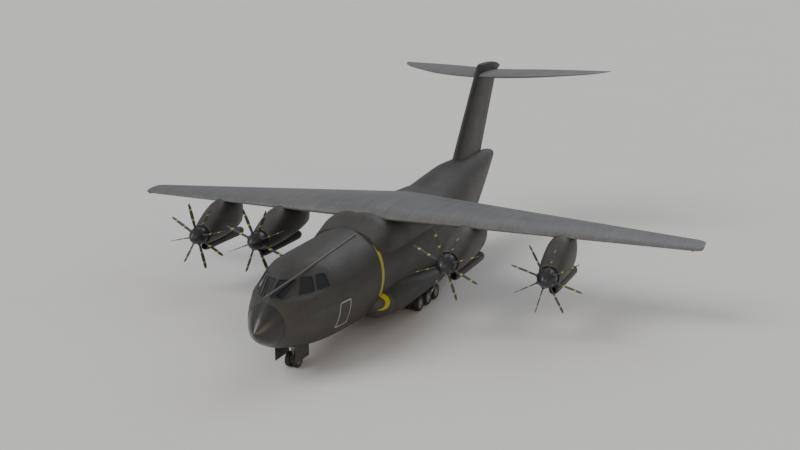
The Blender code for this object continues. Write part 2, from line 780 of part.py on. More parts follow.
def add_cargo_doors(rear):
    """Loading ramp and the door above it, each on pins in the rear barrel."""
    paint = (PAINT, 0.6, 0.0)
    outline, tip_station = ramp_profile(0.0)
    opening, _ = ramp_profile(DOOR_RUN)
    station = RAMP_HINGE_STATION
    ramp = loft("cargo_ramp", [hull_ring(s) for s in stations(HULL, station - 0.6, RAMP_TIP + 2.0)], paint)
    keep(ramp, wedge_tool("ramp_form", outline, RAMP_HALF_FRONT, RAMP_HALF_REAR, station, RAMP_TIP))
    axis = [place(side * RAMP_HALF_FRONT, station, RAMP_HINGE_HEIGHT) for side in (-1, 1)]
    hinge_pair("ramp", ramp, rear, axis, 0.05, DOOR_RUN)
    cut(rear, wedge_tool("ramp_opening", opening, RAMP_HALF_FRONT + RAMP_SIDE_RUN,
                         RAMP_HALF_REAR + RAMP_SIDE_RUN, station, RAMP_TIP))
    origin = (axis[0] + axis[1]) / 2
    ramp.data.transform(Matrix.Translation(-origin))
    ramp.location = origin

    tip_low = between(HULL, RAMP_TIP)[2]
    tip_top = tip_low + RAMP_DEPTH
    lean = (RAMP_TIP - tip_station) / (tip_top - tip_low)
    rear_low = between(HULL, CARGO_DOOR_REAR)[2]
    rear_top = rear_low + CARGO_DOOR_DEPTH
    door = loft("cargo_door", [hull_ring(s) for s in stations(HULL, RAMP_TIP - 2.0, CARGO_DOOR_REAR + 1.0)], paint)
    front = DOOR_RUN * 1.2
    shape = [(tip_station + front, tip_top), (RAMP_TIP + lean * 1.5 + front, tip_low - 1.5),
             (CARGO_DOOR_REAR, tip_low - 1.5), (CARGO_DOOR_REAR, rear_top)]
    keep(door, wedge_tool("cargo_door_form", shape, RAMP_HALF_REAR, CARGO_DOOR_HALF_REAR,
                          RAMP_TIP, CARGO_DOOR_REAR))
    axis = [place(side * CARGO_DOOR_HALF_REAR, CARGO_DOOR_REAR, rear_top) for side in (-1, 1)]
    hinge_pair("cargo_door", door, rear, axis, 0.04, DOOR_RUN)
    gap = DOOR_RUN
    aft = CARGO_DOOR_REAR + 0.04 + DOOR_RUN
    shape = [(tip_station - 0.2, tip_top + gap), (RAMP_TIP - 0.2, tip_low - 1.5),
             (aft, tip_low - 1.5), (aft, rear_top + 0.04 + gap), (CARGO_DOOR_REAR - 0.3, rear_top + 0.04 + gap)]
    cut(rear, wedge_tool("cargo_door_opening", shape, RAMP_HALF_REAR + DOOR_RUN, CARGO_DOOR_HALF_REAR + DOOR_RUN,
                         RAMP_TIP, CARGO_DOOR_REAR))
    origin = (axis[0] + axis[1]) / 2
    door.data.transform(Matrix.Translation(-origin))
    door.location = origin


def hinge_pair(name, leaf, frame, axis, radius, run):
    """Blocks of the frame round both ends of a leaf's hinge line, with its pin in them."""
    along = (axis[1] - axis[0]).normalized()
    size = HINGE_BLOCK + radius
    for end, step in zip(axis, (-1, 1)):
        centre = end + along * step * (run + size / 2) * SCALE
        block = box(f"{name}_block_{step}", (-size / 2, LENGTH / 2 - size / 2, -size / 2),
                    (size / 2, LENGTH / 2 + size / 2, size / 2))
        block.location = centre
        fuse(frame, block)
    pin_joint(leaf, frame, *axis, radius, run + 0.10)


def add_floors():
    """Hold floor, flight deck with its panel and rear wall, and two seats."""
    metal = (METAL, 0.5, 0.6)
    floor = box("cargo_floor", (-2.4, FLOOR_FRONT, FLOOR_TOP - FLOOR_THICKNESS), (2.4, FLOOR_REAR, FLOOR_TOP), metal)
    keep(floor, hull_solid("floor_form", FLOOR_FRONT - 0.5, FLOOR_REAR + 0.5, HULL_WALL + REST))
    outline = ((DECK_FRONT, DECK_TOP - DECK_THICKNESS), (DECK_REAR, DECK_TOP - DECK_THICKNESS),
               (DECK_REAR, 6.5), (DECK_REAR - 0.08, 6.5), (DECK_REAR - 0.08, DECK_TOP),
               (3.00, DECK_TOP), (2.75, 4.85), (2.45, 4.98), (DECK_FRONT, 4.70))
    deck = plate("flight_deck", outline, 0.0, 5.4, (DARK, 0.7, 0.0))
    keep(deck, hull_solid("deck_form", NOSE_JOINT + HULL_WALL + REST, DECK_REAR + 0.5, HULL_WALL + REST))
    cut(deck, box("deck_passage", (-0.4, DECK_REAR - 0.3, DECK_TOP + 0.001), (0.4, DECK_REAR + 0.2, 6.1)))
    base = DECK_TOP - 0.02
    seat = ((3.55, base), (3.85, base), (3.86, base + 0.37), (4.05, base + 0.40), (4.25, base + 1.20),
            (4.12, base + 1.22), (3.95, base + 0.56), (3.40, base + 0.58), (3.38, base + 0.41), (3.54, base + 0.38))
    for name, side in (("port", 1), ("starboard", -1)):
        fuse(deck, plate(f"pilot_seat_{name}", seat, side * 0.62, 0.52))


def add_wing():
    """Centre box, the two outer wings with their moving surfaces, and the fairing below them."""
    paint = (PAINT, 0.6, 0.0)
    centre = loft("wing_centre", [flat_ring(WING, s, side=side) for s, side in
                                  ((WING_ROOT - REST / 2, -1), (0.0, 1), (WING_ROOT - REST / 2, 1))], paint)
    wings = {}
    for name, side in (("port", 1), ("starboard", -1)):
        rings = [flat_ring(WING, WING_ROOT + REST / 2, side=side), flat_ring(WING, WING_STRAIGHT, side=side)]
        for span, squeeze in ((20.90, 0.97), (21.12, 0.84), (WING_HALF_SPAN, 0.60)):
            rings.append(flat_ring(WING, span, side=side, squeeze=squeeze))
        wing = loft(f"wing_{name}", rings, paint)
        for surface, start, end, up_swing, down_swing in WING_SURFACES:
            moving_surface(f"{surface}_{name}", WING, (start, end), (up_swing, down_swing), wing, side)
        wings[side] = wing
    rings = []
    for station, width, top in FAIRING:
        half = top - FAIRING_WAIST
        ring = superellipse(24, width, 0.4, half, 2.0, 2.6)
        rings.append([place(x, station, FAIRING_WAIST + z) for x, z in ring])
    fairing = loft("wing_fairing", rings, paint)
    cut(fairing, hull_solid("fairing_seat", FAIRING[0][0] - 1.0, FAIRING[-1][0] + 1.0, -REST))
    cut(fairing, loft("fairing_wing_seat", [flat_ring(WING, s, REST, side) for s, side in
                                            ((WING_STRAIGHT, -1), (WING_ROOT, -1), (0.0, 1), (WING_ROOT, 1),
                                             (WING_STRAIGHT, 1))]))
    return centre, wings


def add_engine(name, across, station, height, turn, chin_length, length, rise):
    """Nacelle with its chin tube, the engine as one block, and the propeller with its spinner."""
    side = 1 if across > 0 else -1
    rings = []
    squeeze = (length - NACELLE_STRAIGHT) / (NACELLE[-1][0] - NACELLE_STRAIGHT)
    for aft, width, bottom, top in NACELLE:
        aft = min(aft, NACELLE_STRAIGHT + max(0.0, aft - NACELLE_STRAIGHT) * squeeze)
        top = NACELLE[0][3] + (top - NACELLE[0][3]) * rise
        waist = (bottom + top) / 2
        half = (top - bottom) / 2
        ring = superellipse(16, width, half, half, 2.2, 2.2)
        rings.append([place(across + x, station + aft, height + waist + z) for x, z in ring])
    nacelle = loft(f"nacelle_{name}", rings, (PAINT, 0.6, 0.0))
    front = NACELLE[0][0]
    chin = [(CHIN_FRONT, 0.0), (CHIN_FRONT, 0.24), (CHIN_FRONT + 0.30, CHIN_RADIUS),
            (chin_length - 0.30, CHIN_RADIUS), (chin_length - 0.08, 0.20), (chin_length, 0.0)]
    chin_across = across + side * CHIN_OFFSET
    base = place(chin_across, station, height - CHIN_DROP)
    fuse(nacelle, turned(f"chin_{name}", chin, base, (0, 1, 0), 16, None))
    cut(nacelle, loft(f"nacelle_seat_{name}", [flat_ring(WING, s, REST, side) for s in (WING_ROOT, WING_STRAIGHT)]))
    bore = ENGINE_RADIUS + 0.05
    cut(nacelle, rod(f"nacelle_bore_{name}", place(across, station + front - 0.5, height),
                     place(across, station + ENGINE_REAR + REST, height), bore, 20))
    cut(nacelle, rod(f"intake_{name}", place(chin_across, station + CHIN_FRONT - 0.5, height - CHIN_DROP),
                     place(chin_across, station + CHIN_FRONT + 1.0, height - CHIN_DROP), 0.19, 12))
    engine = rod(f"engine_{name}", place(across, station + ENGINE_FRONT, height),
                 place(across, station + ENGINE_REAR, height), ENGINE_RADIUS, 16, (METAL, 0.5, 0.8))
    cut(engine, rod(f"engine_bore_{name}", place(across, station + ENGINE_FRONT - 0.2, height),
                    place(across, station + PROP_SHAFT_REAR + PLAY, height), PROP_SHAFT / cos(pi / 16) + PLAY, 16))
    add_propeller(name, across, station, height, turn)


def add_propeller(name, across, station, height, turn):
    """Spinner, shaft and eight feathered blades, as one body on the engine's axis."""
    hub = place(across, station, height)
    tip = SPINNER_RADIUS
    profile = [(-0.78, 0.0), (-0.70, 0.26 * tip), (-0.48, 0.62 * tip), (-0.15, 0.91 * tip),
               (0.15, tip), (0.50, tip), (0.50, PROP_SHAFT),
               (PROP_SHAFT_REAR, PROP_SHAFT), (PROP_SHAFT_REAR, 0.0)]
    spinner = turned(f"propeller_{name}", profile, hub, (0, 1, 0), 16, (DARK, 0.4, 0.5), hub)
    bm = bmesh.new()
    for k in range(PROP_BLADES):
        angle = radians(turn + 360 / PROP_BLADES * k)
        out = Vector((-sin(angle), 0, cos(angle)))
        side = Vector((cos(angle), 0, sin(angle)))
        rings = []
        for radius, chord, thick, pitch in BLADE:
            lean = radians(pitch)
            flat = side * cos(lean) - Vector((0, 1, 0)) * sin(lean)
            deep = out.cross(flat)
            shape = ((-0.5, 0.0), (-0.18, 0.5), (0.22, 0.4), (0.5, 0.0), (0.22, -0.4), (-0.18, -0.5))
            rings.append([hub + (out * radius + flat * chord * a + deep * thick * b) * SCALE for a, b in shape])
        add_loft(bm, rings)
    fuse(spinner, finish_mesh(f"blades_{name}", bm, None))


def add_tail():
    """Fin with its rudder, the cap over it, and the tailplane with its elevators."""
    paint = (PAINT, 0.6, 0.0)
    fin = loft("fin", [upright_ring(h) for h in (FIN_FOOT, FIN_MIDDLE, FIN_JOINT - REST)], paint)
    cut(fin, hull_solid("fin_seat", 29.0, 39.2, -REST))
    cap = loft("fin_cap", [upright_ring(height, length, width, CAP_FALL) for height, length, width in CAP], paint)
    spans = [(row[0], -1) for row in TAILPLANE[:0:-1]] + [(row[0], 1) for row in TAILPLANE]
    tailplane = loft("tailplane", [flat_ring(TAIL, span, side=side) for span, side in spans], paint)
    seat = loft("tailplane_seat", [flat_ring(TAIL, span, REST, side) for span, side in spans[4:-4]])
    cut(fin, seat)
    cut(cap, seat)
    moving_surface("rudder", FIN, (RUDDER_FOOT, RUDDER_HEAD), (RUDDER_SWING, RUDDER_SWING), fin,
                   upright=True, run=0.02)
    for name, side in (("port", 1), ("starboard", -1)):
        moving_surface(f"elevator_{name}", TAIL, ELEVATOR_SPAN, (ELEVATOR_SWING, ELEVATOR_SWING), tailplane,
                       side, count=4, run=0.02)


def wheel_profile(radius, half_width, offset, hub):
    """Profile of two wheels on one axle, as (along, radius) points."""
    half = [(offset + half_width * 0.55, 0.0), (offset + half_width * 0.55, radius * 0.46),
            (offset + half_width * 0.88, radius * 0.52), (offset + half_width, radius * 0.78),
            (offset + half_width * 0.70, radius * 0.975), (offset + half_width * 0.30, radius),
            (offset - half_width * 0.30, radius), (offset - half_width * 0.70, radius * 0.975),
            (offset - half_width, radius * 0.78), (offset - half_width * 0.80, radius * 0.50),
            (offset - half_width * 0.80, hub)]
    return [(-a, r) for a, r in half] + [(a, r) for a, r in half[::-1]]


def twin_wheels(name, across, station, radius, half_width, offset, hub):
    """Two tyres on an axle that turns as one."""
    centre = place(across, station, radius)
    return turned(name, wheel_profile(radius, half_width, offset, hub), centre, (1, 0, 0), 16,
                  (RUBBER, 0.9, 0.0), centre)


def add_main_gear():
    """Sponsons with a wheel well for each axle, the legs and their twin wheels."""
    hub = 0.06
    for name, side in (("port", 1), ("starboard", -1)):
        rings = []
        for station, across, middle, width, below, above in SPONSON:
            ring = superellipse(20, width, below, above, 2.4, 2.2)
            rings.append([place(side * (across + x), station, middle + z) for x, z in ring])
        sponson = loft(f"sponson_{name}", rings, (PAINT, 0.6, 0.0))
        cut(sponson, hull_solid(f"sponson_seat_{name}", 9.7, 25.8, -REST))
        across = side * MAIN_TRACK / 2
        well = box(f"well_{name}", (across - WELL_HALF_WIDTH, MAIN_AXLES[0] - WELL_MARGIN, 0.2),
                   (across + WELL_HALF_WIDTH, MAIN_AXLES[-1] + WELL_MARGIN, WELL_TOP))
        cut(sponson, well)
        top = WELL_TOP - REST
        legs = box(f"main_legs_{name}", (across - 0.12, MAIN_AXLES[0] - 0.40, top - 0.20),
                   (across + 0.12, MAIN_AXLES[-1] + 0.40, top), (METAL, 0.4, 0.7))
        for number, station in enumerate(MAIN_AXLES, 1):
            outline = [(station - 0.22, top - 0.10)]
            for k in range(6):
                angle = radians(190 + 32 * k)
                outline.append((station + 0.15 * cos(angle), MAIN_TYRE + 0.15 * sin(angle)))
            outline.append((station + 0.22, top - 0.10))
            fuse(legs, plate(f"leg_{name}_{number}", outline, across, 0.14))
        for number, station in enumerate(MAIN_AXLES, 1):
            cut(legs, rod(f"leg_bore_{name}_{number}", place(across - 0.3, station, MAIN_TYRE),
                          place(across + 0.3, station, MAIN_TYRE), hub / cos(pi / 16) + PLAY, 16))
            twin_wheels(f"main_wheels_{name}_{number}", across, station, MAIN_TYRE, 0.19, 0.305, hub)


def add_nose_gear(nose):
    """Wheel bay, its two open doors, the leg, the steered fork and the twin nose wheels."""
    metal = (METAL, 0.4, 0.7)
    wall = BAY_WALL
    bay = box("nose_gear_bay", (-BAY_HALF - wall, BAY_FRONT - wall, 0.6), (BAY_HALF + wall, BAY_REAR + wall, BAY_TOP + wall),
              (PAINT, 0.6, 0.0))
    cut(bay, box("bay_hollow", (-BAY_HALF, BAY_FRONT, 0.4), (BAY_HALF, BAY_REAR, BAY_TOP)))
    keep(bay, hull_solid("bay_form", 2.6, 6.0, HULL_WALL + REST))
    cut(nose, box("bay_opening", (-BAY_HALF, BAY_FRONT, 0.4), (BAY_HALF, BAY_REAR, BAY_TOP)))
    for name, side in (("port", 1), ("starboard", -1)):
        door = box(f"nose_gear_door_{name}", (side * (BAY_HALF + 0.08), BAY_FRONT + 0.05, 0.62),
                   (side * (BAY_HALF + 0.12), BAY_REAR - 0.05, 1.9), (PAINT, 0.6, 0.0))
        cut(door, hull_solid(f"nose_gear_door_seat_{name}", 2.6, 6.0, -REST))
    hub = 0.06
    collar = 0.98
    leg = [(BAY_TOP - REST, 0.0), (BAY_TOP - REST, 0.26), (BAY_TOP - 0.10, 0.26), (BAY_TOP - 0.22, 0.13),
           (collar + RUN, 0.13), (collar + RUN, 0.0)]
    centre = place(0.0, NOSE_AXLE, 0.0)
    post = turned("nose_leg", [(a, r) for a, r in leg[::-1]], centre, (0, 0, 1), 16, metal)
    piston = 0.075
    cut(post, rod("nose_leg_bore", place(0, NOSE_AXLE, 0.5), place(0, NOSE_AXLE, PISTON_TOP + PLAY), piston / cos(pi / 12) + PLAY, 12))
    axle = place(0.0, NOSE_AXLE, NOSE_TYRE)
    outline = [(NOSE_AXLE - 0.13, collar), (NOSE_AXLE - 0.13, NOSE_TYRE)]
    for k in range(1, 5):
        angle = radians(180 + 36 * k)
        outline.append((NOSE_AXLE + 0.13 * cos(angle), NOSE_TYRE + 0.13 * sin(angle)))
    outline += [(NOSE_AXLE + 0.13, NOSE_TYRE), (NOSE_AXLE + 0.13, collar)]
    fork = plate("nose_fork", outline, 0.0, 0.13, metal, axle)
    fuse(fork, rod("fork_piston", place(0, NOSE_AXLE, collar - 0.1), place(0, NOSE_AXLE, PISTON_TOP), piston, 12))
    cut(fork, rod("fork_bore", place(-0.3, NOSE_AXLE, NOSE_TYRE), place(0.3, NOSE_AXLE, NOSE_TYRE),
                  hub / cos(pi / 16) + PLAY, 16))
    twin_wheels("nose_wheels", 0.0, NOSE_AXLE, NOSE_TYRE, 0.15, 0.245, hub)


def add_probe():
    """Refuelling probe that lies along the crown and reaches out over the windscreen."""
    spots = [(across, station, hull_crown(station, across) + PROBE_RADIUS * 0.5) for station, across in PROBE]
    spots.append(PROBE_TIP)
    curve = bpy.data.curves.new("refuelling_probe", "CURVE")
    curve.dimensions = "3D"
    curve.bevel_depth = PROBE_RADIUS * SCALE
    curve.bevel_resolution = 2
    curve.use_fill_caps = True
    spline = curve.splines.new("POLY")
    spline.points.add(len(spots) - 1)
    for point, spot in zip(spline.points, spots):
        point.co = (*place(*spot), 1.0)
    probe = finish_mesh("refuelling_probe", as_mesh(curve), (PAINT, 0.6, 0.0))
    cut(probe, hull_solid("probe_seat", 2.0, 12.0, -REST))


def main():
    """Build the aircraft."""
    nose, _, rear = add_hull()
    add_windows(nose)
    add_crew_door(nose)
    add_cargo_doors(rear)
    add_floors()
    add_wing()
    for engine in ENGINES:
        add_engine(*engine)
    add_tail()
    add_main_gear()
    add_nose_gear(nose)
    add_probe()
    for obj in PARTS.objects:
        obj.data.shade_smooth()
        obj.data.set_sharp_from_angle(angle=radians(35))


main()
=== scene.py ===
"""Looks of the four-engine transport aircraft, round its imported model.

Places are the real aircraft's, in metres: x is across, positive to port; station runs aft from
the nose tip; height is above the ground. The model is made at SCALE of them, nose towards -Y.
"""

import logging
from dataclasses import dataclass
from enum import Enum
from math import atan2, cos, degrees, hypot, pi, radians, sin, sqrt, tan

import bmesh
import bpy
import numpy as np
from mathutils import Matrix, Vector


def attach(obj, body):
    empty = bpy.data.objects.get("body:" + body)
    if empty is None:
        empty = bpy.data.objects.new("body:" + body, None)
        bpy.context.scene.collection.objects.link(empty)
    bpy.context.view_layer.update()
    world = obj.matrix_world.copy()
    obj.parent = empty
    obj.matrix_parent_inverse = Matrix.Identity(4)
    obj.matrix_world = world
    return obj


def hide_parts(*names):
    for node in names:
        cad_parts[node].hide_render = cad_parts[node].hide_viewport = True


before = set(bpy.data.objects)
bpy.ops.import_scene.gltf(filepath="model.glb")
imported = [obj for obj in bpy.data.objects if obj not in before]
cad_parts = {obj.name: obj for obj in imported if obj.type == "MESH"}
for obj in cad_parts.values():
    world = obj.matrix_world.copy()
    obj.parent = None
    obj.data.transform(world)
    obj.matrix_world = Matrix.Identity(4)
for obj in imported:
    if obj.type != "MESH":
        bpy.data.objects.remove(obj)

LOG = logging.getLogger("transport_aircraft")
SCALE = 0.5         # size of the model, for a real size of one
MIDDLE = 22.0       # station at the model's origin
REST = 0.0006       # gap between pieces that rest on each other
WELD = 0.00002      # points of the model nearer than this are one
ROUNDED = 60        # edges of bars and blocks sharper than this, in degrees, are rounded
TRIES = 6           # times that a cut is made before the piece is left whole
GROWTH = 0.0001     # how far a sound cut may still move a piece's box out
NUDGE = 0.00001     # how far the tool moves before the next try

Shape = bpy.types.Object
Tree = bpy.types.NodeTree
Socket = bpy.types.NodeSocket
Rings = np.ndarray


class Side(Enum):
    """The two sides of the aircraft."""

    PORT = 1
    STARBOARD = -1

    @property
    def label(self) -> str:
        """Name of the side as the nodes spell it."""
        return self.name.lower()


class Cut(Enum):
    """What a tool does to the piece it meets."""

    AWAY = "DIFFERENCE"
    WITHIN = "INTERSECT"


# Numbers to shapes

def model(points: Rings) -> Rings:
    """Turn real places into places of the model."""
    return (np.asarray(points, float) - (0.0, MIDDLE, 0.0)) * SCALE


def spot(across: float, station: float, height: float) -> Vector:
    """Place of the model for one real place."""
    return Vector(model((across, station, height)))


class Table:
    """Rows of numbers that are read smoothly by their first column, with no overshoot."""

    def __init__(self, rows: tuple) -> None:
        """Work out the slope of each column at each row."""
        data = np.asarray(rows, float)
        self.keys = data[:, 0]
        self.values = data[:, 1:]
        step = np.diff(self.keys)[:, None]
        rise = np.diff(self.values, axis=0) / step
        self.slopes = np.zeros_like(self.values)
        self.slopes[0] = rise[0]
        self.slopes[-1] = rise[-1]
        before = 2 * step[1:] + step[:-1]
        after = step[1:] + 2 * step[:-1]
        same = rise[:-1] * rise[1:] > 0
        safe = np.where(same, rise[:-1], 1.0), np.where(same, rise[1:], 1.0)
        mean = (before + after) / (before / safe[0] + after / safe[1])
        self.slopes[1:-1] = np.where(same, mean, 0.0)

    def read(self, key: float) -> Rings:
        """Row of the table at a key."""
        key = min(max(key, self.keys[0]), self.keys[-1])
        i = min(int(np.searchsorted(self.keys, key, "right")) - 1, len(self.keys) - 2)
        i = max(i, 0)
        width = self.keys[i + 1] - self.keys[i]
        t = (key - self.keys[i]) / width
        return ((1 + 2 * t) * (1 - t) ** 2 * self.values[i] + t * (1 - t) ** 2 * width * self.slopes[i]
                + t * t * (3 - 2 * t) * self.values[i + 1] + t * t * (t - 1) * width * self.slopes[i + 1])


def steps(start: float, end: float, spacing: float) -> Rings:
    """Evenly spaced values from start to end, no further apart than the spacing."""
    return np.linspace(start, end, max(2, int(np.ceil(abs(end - start) / spacing)) + 1))


def oval(count: int, half_width: float, below: float, above: float, lower: float, upper: float) -> Rings:
    """Superellipse about a waist at zero, from its lowest point, as (across, height) rows."""
    angle = np.linspace(0, 2 * pi, count, endpoint=False) - pi / 2
    c, s = np.cos(angle), np.sin(angle)
    power = 2 / np.where(s >= 0, upper, lower)
    x = half_width * np.abs(c) ** power * np.sign(c)
    z = np.where(s >= 0, above, -below) * np.abs(s) ** power
    return np.column_stack((x, z))


def upright(flat: Rings, across: float, station: float, height: float) -> Rings:
    """Real places of a flat ring that stands square to the aircraft's length."""
    return np.column_stack((across + flat[:, 0], np.full(len(flat), station), height + flat[:, 1]))


def named(name: str) -> Shape:
    """The piece that an operator has just made, under its name."""
    obj = bpy.context.object
    obj.name = obj.data.name = name
    return obj


def vertex_places(obj: Shape) -> Rings:
    """Places of the points of a piece."""
    flat = np.empty(len(obj.data.vertices) * 3, np.float32)
    obj.data.vertices.foreach_get("co", flat)
    return flat.reshape(-1, 3)


def select_only(obj: Shape) -> Shape:
    """Make a piece the only selected one, and the active one."""
    bpy.ops.object.select_all(action="DESELECT")
    obj.select_set(True)
    bpy.context.view_layer.objects.active = obj
    return obj


def weld(obj: Shape) -> Shape:
    """Merge the doubles of a piece and turn its faces outwards."""
    select_only(obj)
    bpy.ops.object.mode_set(mode="EDIT")
    bpy.ops.mesh.select_all(action="SELECT")
    bpy.ops.mesh.remove_doubles(threshold=WELD)
    bpy.ops.mesh.delete_loose()
    bpy.ops.mesh.select_all(action="SELECT")
    bpy.ops.mesh.normals_make_consistent(inside=False)
    bpy.ops.object.mode_set(mode="OBJECT")
    return obj


def skin(name: str, rings: Rings, wrap: bool = True, caps: bool = True) -> Shape:
    """Surface through rings of real places, with a UV map in real metres along and round it.

    Args:
        name: Name of the piece.
        rings: Rings of equal count, as (ring, point, place) numbers.
        wrap: Whether each ring closes on itself.
        caps: Whether both ends are closed.

    Returns:
        The piece.
    """
    rows = np.asarray(rings, float)
    if caps:
        ends = [np.repeat(r.mean(0)[None, None], rows.shape[1], 1) for r in (rows[0], rows[-1])]
        rows = np.concatenate((ends[0], rows, ends[1]))
    if wrap:
        rows = np.concatenate((rows, rows[:, :1]), axis=1)
    count, around = rows.shape[:2]
    bpy.ops.mesh.primitive_grid_add(x_subdivisions=count - 1, y_subdivisions=around - 1, size=2.0)
    obj = named(name)
    grid = (vertex_places(obj)[:, :2] + 1) / 2
    i = np.rint(grid[:, 0] * (count - 1)).astype(int)
    j = np.rint(grid[:, 1] * (around - 1)).astype(int)
    obj.data.vertices.foreach_set("co", model(rows[i, j]).ravel().astype(np.float32))
    along = np.concatenate(([0.0], np.cumsum(np.linalg.norm(np.diff(rows, axis=0), axis=2).mean(1))))
    girth = np.linalg.norm(np.diff(rows, axis=1), axis=2)
    widest = girth[np.argmax(girth.sum(1))]
    across = np.concatenate(([0.0], np.cumsum(widest)))
    corner = np.empty(len(obj.data.loops), np.int32)
    obj.data.loops.foreach_get("vertex_index", corner)
    uv = np.column_stack((along[i], across[j]))[corner]
    obj.data.uv_layers[0].data.foreach_set("uv", uv.ravel().astype(np.float32))
    return weld(obj)


def prism(low: Rings, high: Rings) -> Shape:
    """Tool between two outlines of equal count, each closed by one flat face."""
    bpy.ops.mesh.primitive_circle_add(vertices=len(low), radius=1.0, fill_type="NGON")
    obj = named("cut")
    first, last = model(low), model(high)
    for vert, place in zip(obj.data.vertices, first):
        vert.co = place
    bpy.ops.object.mode_set(mode="EDIT")
    bpy.ops.mesh.select_all(action="SELECT")
    bpy.ops.mesh.extrude_region_move(TRANSFORM_OT_translate={"value": (0.0, 0.0, 0.0)})
    bpy.ops.object.mode_set(mode="OBJECT")
    for vert in obj.data.vertices[len(low):]:
        nearest = int(np.argmin(np.linalg.norm(first - np.asarray(vert.co), axis=1)))
        vert.co = last[nearest]
    return weld(settle_place(obj))


def turned(name: str, profile: tuple, centre: Vector, axis: tuple, turns: int = 48) -> Shape:
    """Solid spun from a closed outline of (along, out) real sizes about an axis.

    Args:
        name: Name of the piece.
        profile: Outline points in order.
        centre: Place of the model that along is counted from.
        axis: Direction of the axis.
        turns: Steps of the spin.

    Returns:
        The piece.
    """
    line = Vector(axis).normalized()
    out = line.orthogonal().normalized()
    bpy.ops.mesh.primitive_circle_add(vertices=len(profile), radius=1.0)
    obj = named(name)
    for vert, (along, radius) in zip(obj.data.vertices, profile):
        vert.co = centre + (line * along + out * radius) * SCALE
    bpy.ops.object.mode_set(mode="EDIT")
    bpy.ops.mesh.select_all(action="SELECT")
    bpy.ops.mesh.spin(steps=turns, angle=2 * pi, center=centre, axis=line)
    bpy.ops.object.mode_set(mode="OBJECT")
    weld(obj)
    return settle_place(obj)


def settle_place(obj: Shape) -> Shape:
    """Move a piece's place, turn and size into its mesh."""
    select_only(obj)
    bpy.ops.object.transform_apply(location=True, rotation=True, scale=True)
    return obj


def rod(name: str, start: Vector, end: Vector, radius: float, sides: int = 20,
        far: float | None = None) -> Shape:
    """Round bar with softened ends between two places of the model; radii are real."""
    axis = end - start
    far = radius if far is None else far
    bpy.ops.mesh.primitive_cone_add(vertices=sides, radius1=radius * SCALE, radius2=far * SCALE,
                                    depth=axis.length, location=(start + end) / 2,
                                    rotation=axis.to_track_quat("Z", "Y").to_euler())
    obj = named(name)
    settle_place(obj)
    return bevel(obj, min(radius, far) * 0.2 * SCALE)


def block(name: str, low: tuple, high: tuple, edge: float = 0.02) -> Shape:
    """Box between two real corners, with its edges rounded by a real width."""
    a, b = spot(*low), spot(*high)
    bpy.ops.mesh.primitive_cube_add(size=1.0, location=(a + b) / 2, scale=[abs(v) for v in b - a])
    obj = named(name)
    settle_place(obj)
    return bevel(obj, edge * SCALE) if edge else obj


def bevel(obj: Shape, width: float) -> Shape:
    """Round the sharp edges of a piece."""
    step = obj.modifiers.new("rounding", "BEVEL")
    step.width = width
    step.segments = 2
    step.limit_method = "ANGLE"
    step.angle_limit = radians(ROUNDED)
    return apply(obj)


def tube(name: str, places: list, radius: float, sides: int = 3) -> Shape:
    """Round tube through real places."""
    bpy.ops.curve.primitive_bezier_curve_add()
    obj = bpy.context.object
    obj.name = name
    curve = obj.data
    curve.splines.clear()
    spline = curve.splines.new("NURBS")
    spline.points.add(len(places) - 1)
    for point, place in zip(spline.points, places):
        point.co = (*spot(*place), 1.0)
    spline.order_u = 3
    spline.use_endpoint_u = True
    spline.resolution_u = 6
    curve.dimensions = "3D"
    curve.bevel_depth = radius * SCALE
    curve.bevel_resolution = sides
    curve.use_fill_caps = True
    select_only(obj)
    bpy.ops.object.convert(target="MESH")
    obj.location = (0, 0, 0)
    return weld(obj)


def apply(obj: Shape) -> Shape:
    """Apply the modifiers of a piece."""
    select_only(obj)
    for step in list(obj.modifiers):
        bpy.ops.object.modifier_apply(modifier=step.name)
    return obj


def wall(obj: Shape, thickness: float) -> Shape:
    """Give a skin a wall, inwards, of a real thickness."""
    step = obj.modifiers.new("wall", "SOLIDIFY")
    step.thickness = thickness * SCALE
    step.offset = -1.0
    step.use_even_offset = True
    return apply(obj)


def measure(obj: Shape) -> tuple[Rings, float]:
    """Lower corner of a piece's box over its upper one turned round, and the volume it closes."""
    places = vertex_places(obj)
    work = bmesh.new()
    work.from_mesh(obj.data)
    volume = work.calc_volume()
    work.free()
    box = np.stack((places.min(0), -places.max(0))) if len(places) else np.full((2, 3), -np.inf)
    return box, volume


def trim(obj: Shape, tool: Shape, how: Cut = Cut.AWAY) -> None:
    """Work a piece with a tool, which goes.

    Now and then a cut leaves its tool standing, so a piece that grew, or that lost nothing, is put
    back and cut again.

    Args:
        obj: The piece.
        tool: What works on it.
        how: What it does to the piece.
    """
    before, name = obj.data.copy(), obj.data.name
    box, volume = measure(obj)
    for left in range(TRIES, 0, -1):
        step = obj.modifiers.new("trim", "BOOLEAN")
        step.object = tool
        step.operation = how.value
        step.solver = "EXACT"
        apply(obj)
        new_box, new_volume = measure(obj)
        grown = bool((new_box < box - GROWTH).any())
        if not grown and (0 < new_volume < volume or left == 1):
            break
        LOG.info("cut of %s made again, %d tries left", obj.name, left - 1)
        obj.data = before.copy()
        obj.data.name = name
        tool.data.transform(Matrix.Translation((NUDGE, NUDGE, NUDGE)))
    bpy.data.meshes.remove(before)
    bpy.data.objects.remove(tool, do_unlink=True)


def join(name: str, parts: list) -> Shape:
    """Make several shapes one piece."""
    bpy.ops.object.select_all(action="DESELECT")
    for part in parts:
        part.select_set(True)
    bpy.context.view_layer.objects.active = parts[0]
    bpy.ops.object.join()
    parts[0].name = parts[0].data.name = name
    return parts[0]


# Finishes

